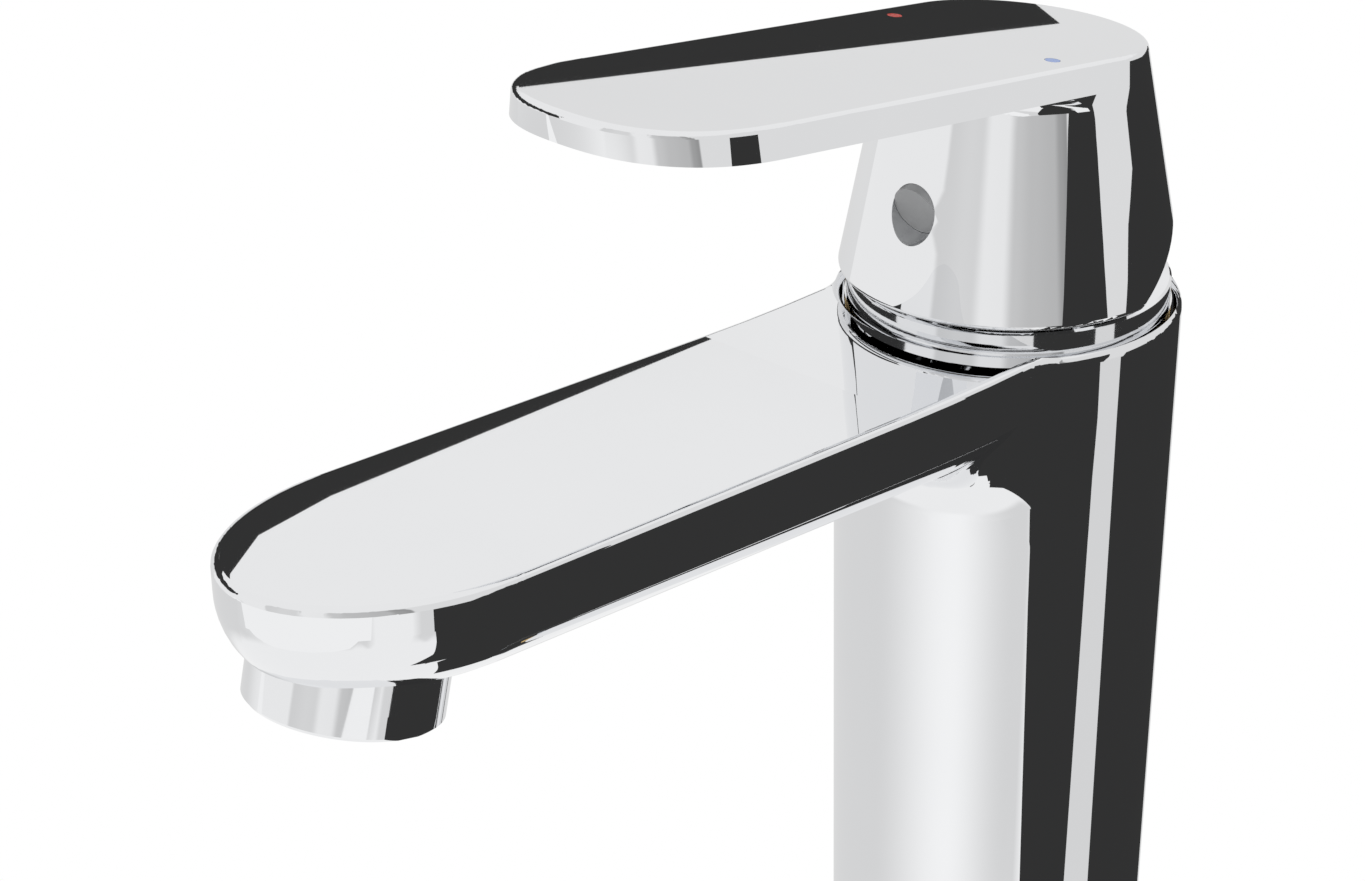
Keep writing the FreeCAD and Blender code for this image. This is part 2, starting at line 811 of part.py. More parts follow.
def handle_shell():
    """Outer shape of the handle."""
    tall = 2 * lever_rise
    cone = Part.makeCone(skirt_radius, cone_radius(crease_height + tall), tall, Vector(0, 0, crease_height))
    full = cone.cut(above(lever_top_z))
    low = cone.cut(above(lever_under_z))
    upper = lever_outline(full, lever_top_z)
    lower = lever_outline(low, lever_under_z)
    plate = Part.makeLoft([lower, upper], True, True)
    shape = low.fuse(plate).removeSplitter()
    brim = edges_where(shape, lambda p: near(p.z, lever_top_z(p.y)))
    shape = shape.makeFillet(lever_edge_round, brim)
    hem = edges_where(shape, lambda p: near(p.z, crease_height))
    shape = shape.makeFillet(skirt_edge_round, hem)
    shape = shape.fuse(neck_flare(cone_radius(lever_under_z(0)) + running_fit))
    rise = math.tan(math.radians(heel_angle))
    heel = [
        (-heel_start, crease_height - overcut),
        (-heel_start, crease_height),
        (far_side, crease_height + (far_side + heel_start) * rise),
        (far_side, crease_height - overcut),
    ]
    return shape.cut(side_prism(heel, far_side))


def make_handle():
    """Handle casting: skirt, lever, stem socket, screw hole and index holes."""
    low = crease_height - overcut
    top = crease_height + cavity_rise
    wide = cone_radius(low) - skirt_wall
    narrow = cone_radius(top) - skirt_wall
    cavity = Part.makeCone(wide, narrow, top - low, Vector(0, 0, low))
    cavity = cavity.cut(disc(boss_radius, crease_height + boss_rise, top + overcut))
    cavity = cavity.cut(on_screw_axis(disc(rib_radius, 0, screw_reach())))
    shape = handle_shell().cut(cavity)
    half = stem_half_width + socket_fit
    socket_top = crease_height + stem_top + slide_gap
    shape = shape.cut(box(-half, half, -half, half, low, socket_top))
    plug_bore = plug_radius + running_fit
    plug_floor = plug_recess + plug_length
    shape = shape.cut(on_screw_axis(disc(plug_bore, -boss_radius, plug_floor)))
    shape = shape.cut(on_screw_axis(disc(screw_hole_radius, 0, screw_reach() + stem_half_width)))
    for side in (-1, 1):
        hole = disc(index_radius + running_fit, -index_depth, overcut)
        shape = shape.cut(on_lever(hole, side * index_x, index_y))
    return shape


def make_screw():
    """Grub screw with a cone point and a hexagon key socket."""
    tip_clear = (screw_tip_radius + ball_clearance) * math.tan(math.radians(plug_angle))
    end = screw_reach() - tip_clear
    cone = screw_radius - screw_tip_radius
    points = [
        (0, screw_start),
        (screw_radius, screw_start),
        (screw_radius, end - cone),
        (screw_tip_radius, end),
        (0, end),
    ]
    shape = turned(points)
    socket = hexagon(screw_key_radius, screw_start, screw_start + screw_radius)
    return on_screw_axis(shape.cut(socket))


# Aerator: threaded housing, flow insert, outlet screen and washer
def make_aerator_housing():
    """Threaded aerator housing with two spanner flats and an inward lip."""
    high = aerator_exposed + aerator_thread
    cut = aerator_chamfer
    shape = turned(
        [
            (aerator_lip_radius, 0),
            (aerator_radius - cut, 0),
            (aerator_radius, cut),
            (aerator_radius, high),
            (aerator_bore_radius, high),
            (aerator_bore_radius, aerator_lip),
            (aerator_lip_radius, aerator_lip),
        ]
    )
    flat = aerator_radius - aerator_flat_depth
    for start, end in ((flat, 2 * flat), (-2 * flat, -flat)):
        shape = shape.cut(box(start, end, -2 * flat, 2 * flat, -overcut, aerator_flat_height))
    return on_axis(shape)


def main():
    """Make and write every piece."""
    os.makedirs("parts", exist_ok=True)
    save("body", make_body())
    save("inlet_manifold", make_manifold())
    save("base_seal", tube(seal_middle + seal_half, seal_middle - seal_half, 0, base_seal_height))
    save("fixing_stud", disc(stud_radius, stud_top - stud_length, stud_top, 0, stud_y))
    save("deck_gasket", horseshoe(gasket_low, deck_low))
    save("horseshoe_washer", horseshoe(washer_low, gasket_low))
    save("stud_nut", make_stud_nut(washer_low))
    save("cartridge_base", make_cartridge_base())
    for name, (x, y) in port_places().items():
        seal = tube(port_radius + seal_land, port_radius, seat_z, seat_z + seal_height, x, y)
        save("port_seal_" + name, seal)
    fixed_radius = cartridge_radius - housing_wall - running_fit
    fixed = disc(fixed_radius, cartridge_base_top, fixed_disc_top)
    save("fixed_disc", with_ports(fixed, cartridge_base_top, fixed_disc_top))
    save("moving_disc", make_moving_disc())
    save("disc_carrier", make_carrier())
    save("cartridge_housing", make_housing())
    save("swivel_guide", make_guide())
    pin_start = Vector(-pin_half_length, 0, pivot_z)
    save("pivot_pin", Part.makeCylinder(pin_radius, 2 * pin_half_length, pin_start, Vector(1, 0, 0)))
    save("limiter_ring", make_limiter())
    save("retaining_nut", make_retaining_nut())
    save("collar_sleeve", make_collar())
    save("lever_stem", make_stem())
    save("handle", make_handle())
    save("handle_screw", make_screw())
    save("screw_plug", on_screw_axis(disc(plug_radius, plug_recess, plug_recess + plug_length)))
    for name, side in (("index_hot", -1), ("index_cold", 1)):
        save(name, on_lever(disc(index_radius, -index_depth, 0), side * index_x, index_y))
    save("aerator_housing", make_aerator_housing())
    screen_radius = aerator_bore_radius - running_fit
    screen_top = aerator_lip + screen_height
    insert_top = screen_top + insert_height
    ring_low = aerator_exposed + aerator_thread
    ring_high = ring_low + aerator_washer_height
    save("aerator_screen", on_axis(disc(screen_radius, aerator_lip, screen_top)))
    save("aerator_insert", on_axis(disc(screen_radius, screen_top, insert_top)))
    save("aerator_washer", on_axis(tube(aerator_radius, aerator_bore_radius, ring_low, ring_high)))


main()
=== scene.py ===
"""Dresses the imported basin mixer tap: finishes, threads, small detail, a studio and its camera."""

import logging
import math
from dataclasses import dataclass
from enum import Enum
from typing import Any, Mapping, Sequence

import bmesh
import bpy
from mathutils import Matrix, Vector


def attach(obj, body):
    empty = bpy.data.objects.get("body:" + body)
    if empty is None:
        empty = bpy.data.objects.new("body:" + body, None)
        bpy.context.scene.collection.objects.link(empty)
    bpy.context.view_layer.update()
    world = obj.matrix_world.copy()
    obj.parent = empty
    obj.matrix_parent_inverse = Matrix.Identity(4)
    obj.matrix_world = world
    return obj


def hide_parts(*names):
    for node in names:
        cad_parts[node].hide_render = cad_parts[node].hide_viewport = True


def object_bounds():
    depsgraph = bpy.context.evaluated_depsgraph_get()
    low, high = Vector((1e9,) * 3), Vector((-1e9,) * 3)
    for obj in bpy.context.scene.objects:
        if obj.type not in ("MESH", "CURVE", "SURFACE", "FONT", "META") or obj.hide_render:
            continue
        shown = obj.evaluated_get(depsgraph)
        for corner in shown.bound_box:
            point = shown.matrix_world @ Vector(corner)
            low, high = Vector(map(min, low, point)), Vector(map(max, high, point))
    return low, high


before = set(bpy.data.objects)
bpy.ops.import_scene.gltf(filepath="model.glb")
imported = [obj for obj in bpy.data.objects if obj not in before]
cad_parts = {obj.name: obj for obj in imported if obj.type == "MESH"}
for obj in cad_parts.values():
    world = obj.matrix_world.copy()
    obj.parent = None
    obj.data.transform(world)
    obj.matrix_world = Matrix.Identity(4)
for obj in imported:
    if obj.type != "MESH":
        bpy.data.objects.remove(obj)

Colour = tuple[float, float, float]
Place = tuple[float, float, float]
Spot = tuple[float, float]

LOG = logging.getLogger("basin_mixer")
CAD_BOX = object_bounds()
PHOTO_WIDTH_PX = 1365
FIXED_BODY = "fixed"
MM = 0.001
ORIGIN = (0.0, 0.0, 0.0)
UP = (0.0, 0.0, 1.0)
DOWN = (0.0, 0.0, -1.0)
WHITE = (1.0, 1.0, 1.0)

# Corners that are nearer to each other than these lengths in metres are one.
TOUCHING = 1e-7
MESH_SEAM = 1e-6
THREAD_SEAM = 2e-6

# Facets round a turned piece.
TURNED_STEPS = 96

# The wave texture's own distance between two rings.
RING_SPACING = 0.314

# The Mix node's sockets for colours.
MIX_FIRST, MIX_SECOND, MIX_RESULT = 6, 7, 2

# The materials made so far, by name.
MADE: dict[str, bpy.types.Material] = {}


class Axis(str, Enum):
    """The axes that things are turned about."""

    X = "X"
    Z = "Z"


class Ray(str, Enum):
    """The kinds of ray that the studio answers in different ways."""

    CAMERA = "Is Camera Ray"
    GLOSSY = "Is Glossy Ray"
    TRANSMISSION = "Is Transmission Ray"


class Socket:
    """A node's output that takes part in sums written as Python expressions."""

    def __init__(self, graph: "Graph", link: bpy.types.NodeSocket | None) -> None:
        """Keeps the graph that the output belongs to, and the output itself."""
        self.graph = graph
        self.link = link

    def maths(self, operation: str, first: Any, second: Any = 0.0) -> "Socket":
        """Adds a Math node.

        Args:
            operation: the Math node's operation.
            first: a number or a socket.
            second: a number or a socket.

        Returns:
            The result's socket.
        """
        return self.graph.node("ShaderNodeMath", {"operation": operation}, {0: first, 1: second})

    def out(self, name: str) -> "Socket":
        """Another output of the same node."""
        return Socket(self.graph, self.link.node.outputs[name])

    def __add__(self, other: Any) -> "Socket":
        """This plus other."""
        return self.maths("ADD", self, other)

    def __radd__(self, other: Any) -> "Socket":
        """Other plus this."""
        return self.maths("ADD", other, self)

    def __sub__(self, other: Any) -> "Socket":
        """This less other."""
        return self.maths("SUBTRACT", self, other)

    def __rsub__(self, other: Any) -> "Socket":
        """Other less this."""
        return self.maths("SUBTRACT", other, self)

    def __mul__(self, other: Any) -> "Socket":
        """This times other."""
        return self.maths("MULTIPLY", self, other)

    def __or__(self, other: Any) -> "Socket":
        """The larger of this and other."""
        return self.maths("MAXIMUM", self, other)

    def __and__(self, other: Any) -> "Socket":
        """The smaller of this and other."""
        return self.maths("MINIMUM", self, other)


@dataclass(frozen=True)
class Cloud:
    """A cloud pattern: its clouds' size in metres, its finer layers and how far it is stirred."""

    size: float
    layers: float = 2.0
    stir: float = 0.0


@dataclass(frozen=True)
class Relief:
    """How a pattern shows in the level: its strength, and a full step's height in metres."""

    strength: float
    depth: float


class Graph:
    """A node tree that is written as expressions."""

    def __init__(self, tree: bpy.types.NodeTree) -> None:
        """Starts from an emptied tree."""
        self.tree = tree
        self.tree.nodes.clear()

    def node(
        self,
        kind: str,
        settings: Mapping[str, Any] | None = None,
        sockets: Mapping[Any, Any] | None = None,
        output: Any = 0,
    ) -> Socket:
        """Adds any node.

        Args:
            kind: the node's type.
            settings: its own settings, set first; "stops" fills a ramp.
            sockets: values or links for its inputs.
            output: the output that is given back.

        Returns:
            The chosen output's socket.
        """
        made = self.tree.nodes.new(kind)
        for key, value in (settings or {}).items():
            if key == "stops":
                self.fill_ramp(made, value)
            else:
                setattr(made, key, value)
        for key, value in (sockets or {}).items():
            if isinstance(value, Socket):
                self.tree.links.new(value.link, made.inputs[key])
            else:
                made.inputs[key].default_value = value
        return Socket(self, made.outputs[output] if made.outputs else None)

    @staticmethod
    def fill_ramp(made: bpy.types.Node, stops: Sequence[Spot]) -> None:
        """Sets a ramp's stops.

        Args:
            made: the ramp node.
            stops: (place, grey level) pairs.
        """
        ramp = made.color_ramp
        ramp.interpolation = "EASE"
        while len(ramp.elements) < len(stops):
            ramp.elements.new(1.0)
        for element, (place, level) in zip(ramp.elements, stops):
            element.position = place
            element.color = (level, level, level, 1.0)

    def place(self) -> Socket:
        """The piece's own coordinates in metres."""
        return self.node("ShaderNodeTexCoord", output="Object")

    def noise(self, at: Socket, cloud: Cloud) -> Socket:
        """A cloud pattern's value.

        Args:
            at: where it is read.
            cloud: the pattern.

        Returns:
            The pattern, from 0 to 1.
        """
        return self.node("ShaderNodeTexNoise", {"noise_dimensions": "3D"}, {
            "Vector": at,
            "Scale": 1.0 / cloud.size,
            "Detail": cloud.layers,
            "Distortion": cloud.stir,
        })

    def ranged(
        self, value: Socket, start: float, end: float, low: float, high: float, smooth: bool = False
    ) -> Socket:
        """Carries a value from one range to another, held at its ends.

        Args:
            value: what is carried over.
            start: the value that becomes low.
            end: the value that becomes high.
            low: the result at start.
            high: the result at end.
            smooth: whether the result eases in and out.

        Returns:
            The result's socket.
        """
        easing = "SMOOTHSTEP" if smooth else "LINEAR"
        settings = {"interpolation_type": easing, "clamp": True}
        sockets = {0: value, 1: start, 2: end, 3: low, 4: high}
        return self.node("ShaderNodeMapRange", settings, sockets)

    def past(self, value: Socket, edge: float, soft: float) -> Socket:
        """How far a value is past an edge.

        Args:
            value: the value.
            edge: where the step lies.
            soft: the step's width.

        Returns:
            0 before the edge and 1 past it.
        """
        return self.ranged(value - edge, -soft / 2, soft / 2, 0.0, 1.0, smooth=True)

    def mixed(self, factor: Any, first: Any, second: Any) -> Socket:
        """A colour between two.

        Args:
            factor: 0 for the first and 1 for the second.
            first: a colour or a socket.
            second: a colour or a socket.

        Returns:
            The colour's socket.
        """
        first, second = (c if isinstance(c, Socket) else (*c, 1.0) for c in (first, second))
        sockets = {0: factor, MIX_FIRST: first, MIX_SECOND: second}
        return self.node("ShaderNodeMix", {"data_type": "RGBA"}, sockets, output=MIX_RESULT)

    def bumped(self, height: Socket, relief: Relief) -> Socket:
        """A normal that follows a height.

        Args:
            height: the pattern, from 0 to 1.
            relief: how it shows.

        Returns:
            The normal's socket.
        """
        return self.node("ShaderNodeBump", {}, {
            "Strength": relief.strength,
            "Distance": relief.depth,
            "Height": height,
        })

    def glowing(self, colour: Colour) -> Socket:
        """A shader that gives off a plain colour."""
        return self.node("ShaderNodeEmission", {}, {"Color": (*colour, 1.0), "Strength": 1.0})

    def end(self, shader: Socket) -> None:
        """Ends a material with a shader."""
        self.node("ShaderNodeOutputMaterial", {}, {"Surface": shader})

    def surface(self, sockets: Mapping[str, Any]) -> None:
        """Ends a material with one principled surface.

        Args:
            sockets: values or links for the surface's inputs.
        """
        self.end(self.node("ShaderNodeBsdfPrincipled", {}, sockets))


def new_material(name: str) -> Graph:
    """Makes an empty material and keeps it under its name.

    Args:
        name: the material's name.

    Returns:
        The material's graph.
    """
    MADE[name] = bpy.data.materials.new(name)
    MADE[name].use_nodes = True
    return Graph(MADE[name].node_tree)


@dataclass(frozen=True)
class Finish:
    """A finish that becomes one material."""

    name: str

    def paint(self, graph: Graph) -> None:
        """Writes the finish's nodes into a graph."""
        raise NotImplementedError

    def material(self) -> bpy.types.Material:
        """The finish's material, made once."""
        if self.name not in MADE:
            self.paint(new_material(self.name))
        return MADE[self.name]


@dataclass(frozen=True)
class Chrome(Finish):
    """Bright plating on a polished casting, with a faint haze from polishing."""

    tint: Colour = (0.885, 0.89, 0.9)
    shade: Colour = (0.86, 0.867, 0.88)
    polish: float = 0.004
    haze: float = 0.012
    cloud: Cloud = Cloud(0.02, 3.0)
    ripple: Cloud = Cloud(0.02, 1.0)
    relief: Relief = Relief(0.1, 0.00001)

    def paint(self, graph: Graph) -> None:
        """A mirror whose colour, roughness and level vary very slightly.

        Args:
            graph: the material's graph.
        """
        at = graph.place()
        cloud = graph.noise(at, self.cloud)
        ripple = graph.noise(at, self.ripple)
        graph.surface({
            "Base Color": graph.mixed(cloud, self.tint, self.shade),
            "Metallic": 1.0,
            "Roughness": self.polish + cloud * self.haze,
            "Normal": graph.bumped(ripple, self.relief),
        })


@dataclass(frozen=True)
class Turned(Finish):
    """Bare metal with the fine rings that turning about an upright axis leaves."""

    tint: Colour
    shade: Colour
    feed: float = 0.0004
    wander: float = 0.6
    ring_layers: float = 1.0
    cloud: Cloud = Cloud(0.006, 3.0)
    rough: float = 0.22
    cloud_rough: float = 0.16
    ring_rough: float = 0.05
    relief: Relief = Relief(0.3, 0.00003)

    def paint(self, graph: Graph) -> None:
        """Rings in the level, clouds in the colour and the roughness.

        Args:
            graph: the material's graph.
        """
        at = graph.place()
        settings = {"wave_type": "RINGS", "rings_direction": "Z", "wave_profile": "SIN"}
        rings = graph.node("ShaderNodeTexWave", settings, {
            "Vector": at,
            "Scale": RING_SPACING / self.feed,
            "Distortion": self.wander,
            "Detail": self.ring_layers,
        }, output="Fac")
        cloud = graph.noise(at, self.cloud)
        graph.surface({
            "Base Color": graph.mixed(cloud, self.tint, self.shade),
            "Metallic": 1.0,
            "Roughness": self.rough + cloud * self.cloud_rough + rings * self.ring_rough,
            "Normal": graph.bumped(rings, self.relief),
        })


@dataclass(frozen=True)
class Zinc(Finish):
    """Steel with a bright zinc coat."""

    tint: Colour = (0.62, 0.65, 0.68)
    shade: Colour = (0.45, 0.48, 0.53)
    crystals_per_metre: float = 700.0
    crystal_share: float = 0.5
    cloud: Cloud = Cloud(0.009, 4.0)
    cloud_share: float = 0.6
    rough: float = 0.28
    mask_rough: float = 0.2
    relief: Relief = Relief(0.15, 0.00005)

    def paint(self, graph: Graph) -> None:
        """Small crystals in the colour, with a soft haze over them.

        Args:
            graph: the material's graph.
        """
        at = graph.place()
        sockets = {"Vector": at, "Scale": self.crystals_per_metre}
        crystal = graph.node("ShaderNodeTexVoronoi", {"feature": "F1"}, sockets)
        cloud = graph.noise(at, self.cloud)
        mask = (crystal * self.crystal_share + cloud * self.cloud_share) & 1.0
        graph.surface({
            "Base Color": graph.mixed(mask, self.tint, self.shade),
            "Metallic": 1.0,
            "Roughness": self.rough + mask * self.mask_rough,
            "Normal": graph.bumped(crystal, self.relief),
        })


@dataclass(frozen=True)
class Rubber(Finish):
    """Moulded rubber with a fine dusty skin."""

    tint: Colour = (0.022, 0.022, 0.024)
    dust: Colour = (0.06, 0.06, 0.063)
    dust_cloud: Cloud = Cloud(0.011, 4.0, 0.4)
    dust_range: Spot = (0.4, 0.75)
    grain: Cloud = Cloud(0.0006)
    rough: float = 0.55
    dust_rough: float = 0.3
    relief: Relief = Relief(0.35, 0.00006)

    def paint(self, graph: Graph) -> None:
        """A dark ground with paler dust and a fine grain.

        Args:
            graph: the material's graph.
        """
        at = graph.place()
        dust = graph.noise(at, self.dust_cloud)
        grain = graph.noise(at, self.grain)
        dusty = graph.ranged(dust, *self.dust_range, 0.0, 1.0)
        graph.surface({
            "Base Color": graph.mixed(dusty, self.tint, self.dust),
            "Roughness": self.rough + dust * self.dust_rough,
            "Normal": graph.bumped(grain, self.relief),
        })


@dataclass(frozen=True)
class Moulded(Finish):
    """Injection-moulded plastic with a fine spark-eroded skin."""

    tint: Colour
    shade: Colour
    rough: float = 0.38
    grain_rough: float = 0.12
    cloud: Cloud = Cloud(0.013, 3.0, 0.3)
    grain: Cloud = Cloud(0.0005)
    relief: Relief = Relief(0.2, 0.00003)

    def paint(self, graph: Graph) -> None:
        """A slightly clouded colour, with a grain in the level and the roughness.

        Args:
            graph: the material's graph.
        """
        at = graph.place()
        cloud = graph.noise(at, self.cloud)
        grain = graph.noise(at, self.grain)
        graph.surface({
            "Base Color": graph.mixed(cloud, self.tint, self.shade),
            "Roughness": self.rough + grain * self.grain_rough,
            "Normal": graph.bumped(grain, self.relief),
        })


@dataclass(frozen=True)
class Ceramic(Finish):
    """Lapped alumina, off-white and faintly speckled."""

    tint: Colour = (0.83, 0.82, 0.78)
    shade: Colour = (0.76, 0.74, 0.69)
    speckle: Cloud = Cloud(0.0009, 4.0)
    speckle_range: Spot = (0.45, 0.7)
    rough: float = 0.12
    speckle_rough: float = 0.12

    def paint(self, graph: Graph) -> None:
        """A polished ground with small speckles.

        Args:
            graph: the material's graph.
        """
        speckle = graph.noise(graph.place(), self.speckle)
        speckled = graph.ranged(speckle, *self.speckle_range, 0.0, 1.0)
        graph.surface({
            "Base Color": graph.mixed(speckled, self.tint, self.shade),
            "Roughness": self.rough + speckle * self.speckle_rough,
        })


@dataclass(frozen=True)
class Enamel(Finish):
    """A drop of glossy enamel in a small round recess."""

    tint: Colour
    shade: Colour
    cloud: Cloud = Cloud(0.0014)
    rough: float = 0.1
    cloud_rough: float = 0.1
    gloss: float = 0.6
    relief: Relief = Relief(0.08, 0.0001)

    def paint(self, graph: Graph) -> None:
        """A deep colour that thins a little in clouds, under a gloss.

        Args:
            graph: the material's graph.
        """
        cloud = graph.noise(graph.place(), self.cloud)
        graph.surface({
            "Base Color": graph.mixed(cloud, self.tint, self.shade),
            "Roughness": self.rough + cloud * self.cloud_rough,
            "Coat Weight": self.gloss,
            "Normal": graph.bumped(cloud, self.relief),
        })


BODY_CHROME = Chrome("body_chrome")
HANDLE_CHROME = Chrome("handle_chrome")
COLLAR_CHROME = Chrome("collar_chrome", polish=0.03, haze=0.05)
AERATOR_CHROME = Chrome("aerator_chrome", polish=0.02, haze=0.05)
SEAL_RUBBER = Rubber("seal_rubber")
GASKET_RUBBER = Rubber("gasket_rubber", (0.03, 0.03, 0.031), (0.085, 0.084, 0.082))
ZINC_STEEL = Zinc("zinc_steel")
NUT_BRASS = Turned("nut_brass", (0.75, 0.55, 0.25), (0.62, 0.42, 0.17))
STEM_BRASS = Turned("stem_brass", (0.72, 0.53, 0.26), (0.6, 0.41, 0.18), feed=0.0003)
PIN_STEEL = Turned("pin_steel", (0.62, 0.62, 0.62), (0.5, 0.5, 0.51), feed=0.0002)
CARTRIDGE_PLASTIC = Moulded("cartridge_plastic", (0.72, 0.73, 0.74), (0.66, 0.67, 0.69))
GUIDE_PLASTIC = Moulded("guide_plastic", (0.16, 0.2, 0.27), (0.12, 0.15, 0.21))
CARRIER_PLASTIC = Moulded("carrier_plastic", (0.07, 0.07, 0.075), (0.05, 0.05, 0.055))
LIMITER_PLASTIC = Moulded("limiter_plastic", (0.55, 0.1, 0.07), (0.45, 0.07, 0.05))
DISC_CERAMIC = Ceramic("disc_ceramic")
PLUG_PLASTIC = Moulded("plug_plastic", (0.42, 0.425, 0.43), (0.37, 0.375, 0.38), rough=0.3)
INDEX_RED = Enamel("index_red", (0.72, 0.045, 0.02), (0.6, 0.03, 0.015))
INDEX_BLUE = Enamel("index_blue", (0.06, 0.2, 0.62), (0.045, 0.16, 0.52))
SCREEN_PLASTIC = Moulded("screen_plastic", (0.62, 0.64, 0.66), (0.55, 0.57, 0.6))
INSERT_PLASTIC = Moulded("insert_plastic", (0.78, 0.78, 0.77), (0.7, 0.7, 0.7))

NODES_BY_FINISH: dict[Finish, tuple[str, ...]] = {
    BODY_CHROME: ("body",),
    HANDLE_CHROME: ("handle",),
    COLLAR_CHROME: ("collar_sleeve",),
    AERATOR_CHROME: ("aerator_housing",),
    SEAL_RUBBER: (
        "base_seal", "port_seal_hot", "port_seal_cold", "port_seal_outlet", "aerator_washer",
    ),
    GASKET_RUBBER: ("deck_gasket",),
    ZINC_STEEL: ("fixing_stud", "horseshoe_washer", "handle_screw"),
    NUT_BRASS: ("inlet_manifold", "stud_nut", "retaining_nut"),
    STEM_BRASS: ("lever_stem",),
    PIN_STEEL: ("pivot_pin",),
    CARTRIDGE_PLASTIC: ("cartridge_base", "cartridge_housing"),
    GUIDE_PLASTIC: ("swivel_guide",),
    CARRIER_PLASTIC: ("disc_carrier",),
    LIMITER_PLASTIC: ("limiter_ring",),
    DISC_CERAMIC: ("fixed_disc", "moving_disc"),
    PLUG_PLASTIC: ("screw_plug",),
    INDEX_RED: ("index_hot",),
    INDEX_BLUE: ("index_cold",),
    SCREEN_PLASTIC: ("aerator_screen",),
    INSERT_PLASTIC: ("aerator_insert",),
}


def dress_node(node: str, finish: Finish) -> None:
    """Gives a CAD node its material.

    Args:
        node: the node's name.
        finish: the finish that its faces take.
    """
    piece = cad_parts[node]
    piece.data.materials.clear()
    piece.data.materials.append(finish.material())
    LOG.info("%s wears %s", node, finish.name)


def turned(angle_deg: float, axis: Axis) -> Matrix:
    """A turn about one of the axes."""
    return Matrix.Rotation(math.radians(angle_deg), 4, axis.value)


def new_object(name: str, shape: bmesh.types.BMesh) -> bpy.types.Object:
    """Turns a bmesh into an object at the origin.

    Args:
        name: the object's name.
        shape: the mesh, which is freed.

    Returns:
        The linked object.
    """
    mesh = bpy.data.meshes.new(name)
    shape.to_mesh(mesh)
    shape.free()
    made = bpy.data.objects.new(name, mesh)
    bpy.context.scene.collection.objects.link(made)
    return made


def carry(piece: bpy.types.Object, finish: Finish, replaced: Sequence[str] = ()) -> None:
    """Dresses a new piece and hands it to the fixed body.

    Args:
        piece: the piece's object.
        finish: its finish, whose name is also its slot.
        replaced: the CAD nodes that it stands for.
    """
    piece.data.materials.append(finish.material())
    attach(piece, FIXED_BODY)
    if replaced:
        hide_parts(*replaced)
    LOG.info("%s wears %s and rides on %s", piece.name, finish.name, FIXED_BODY)


def whole(shape: bmesh.types.BMesh) -> list[Any]:
    """All corners, edges and faces of a mesh."""
    return [*shape.verts, *shape.edges, *shape.faces]


def corners_among(parts: Sequence[Any]) -> list[bmesh.types.BMVert]:
    """The corners among the parts that an operator gives back."""
    return [part for part in parts if isinstance(part, bmesh.types.BMVert)]


def cut_away(
    shape: bmesh.types.BMesh, at: Sequence[float], way: Sequence[float]
) -> list[bmesh.types.BMEdge]:
    """Cuts a mesh by a plane and takes away what lies beyond it.

    Args:
        shape: the mesh.
        at: a point in the plane.
        way: the direction that is taken away.

    Returns:
        The cut's rim.
    """
    cut = bmesh.ops.bisect_plane(
        shape, geom=whole(shape), dist=TOUCHING, plane_co=at, plane_no=way, clear_outer=True)
    return [part for part in cut["geom_cut"] if isinstance(part, bmesh.types.BMEdge)]


def lathe(shape: bmesh.types.BMesh, outline: Sequence[Spot]) -> None:
    """Turns a closed outline about the Z axis.

    Args:
        shape: the mesh that takes the turned solid.
        outline: (radius, height) corners in millimetres.
    """
    corners = [shape.verts.new((radius * MM, 0.0, height * MM)) for radius, height in outline]
    ring = [shape.edges.new(pair) for pair in zip(corners, corners[1:] + corners[:1])]
    bmesh.ops.spin(
        shape, geom=[*corners, *ring], cent=ORIGIN, axis=UP, angle=math.tau, steps=TURNED_STEPS,
        use_merge=True)
    bmesh.ops.remove_doubles(shape, verts=shape.verts, dist=TOUCHING)
    bmesh.ops.recalc_face_normals(shape, faces=shape.faces)


def smooth_below(piece: bpy.types.Object, angle_deg: float) -> None:
    """Shades a piece smooth where its faces meet at less than an angle.

    Args:
        piece: the piece's object.
        angle_deg: the largest angle that is shaded over.
    """
    piece.data.shade_smooth()
    piece.data.set_sharp_from_angle(angle=math.radians(angle_deg))


@dataclass(frozen=True)
class Card:
    """An upright sheet, trimmed by straight cuts, that glows at its level and only reflections show:
    it paints a dark or pale reflection on the chrome.

    Its corners and cuts are (along, up) distances in metres from where it stands. A cut runs from
    its first point to its second and takes away what lies to the right.
    """

    name: str
    stands_at: Spot
    faces_deg: float
    low: Spot
    high: Spot
    cuts: tuple[tuple[Spot, Spot], ...] = ()
    # How bright the card glows: a painted dark or pale reflection.
    level: float = 0.035

    def hang(self) -> None:
        """Builds the card."""
        shape = bmesh.new()
        bmesh.ops.create_grid(shape, x_segments=1, y_segments=1, size=0.5)
        spread = (self.high[0] - self.low[0], self.high[1] - self.low[1], 1.0, 1.0)
        middle = ((self.high[0] + self.low[0]) / 2, (self.high[1] + self.low[1]) / 2, 0.0)
        fitted = Matrix.Translation(middle) @ Matrix.Diagonal(spread)
        bmesh.ops.transform(shape, matrix=fitted, verts=shape.verts)
        for start, end in self.cuts:
            outside = Vector((end[1] - start[1], start[0] - end[0], 0.0)).normalized()
            cut_away(shape, (*start, 0.0), outside)
        turn = turned(self.faces_deg + 90.0, Axis.Z)
        upright = turned(90.0, Axis.X)
        place = Matrix.Translation((*self.stands_at, 0.0)) @ turn @ upright
        bmesh.ops.transform(shape, matrix=place, verts=shape.verts)
        card = new_object(self.name, shape)
        card.data.materials.append(self.reflected_glow())
        for kind in ("camera", "diffuse", "shadow", "transmission"):
            setattr(card, f"visible_{kind}", False)

    def reflected_glow(self) -> bpy.types.Material:
        """The glowing material of the cards that are as bright as this one, made once; since only
        reflections show the cards, it paints a reflection.
        """
        name = f"card_reflected_glow_{round(self.level * 1000)}"
        if name not in MADE:
            graph = new_material(name)
            graph.end(graph.glowing((self.level, self.level, self.level)))
        return MADE[name]


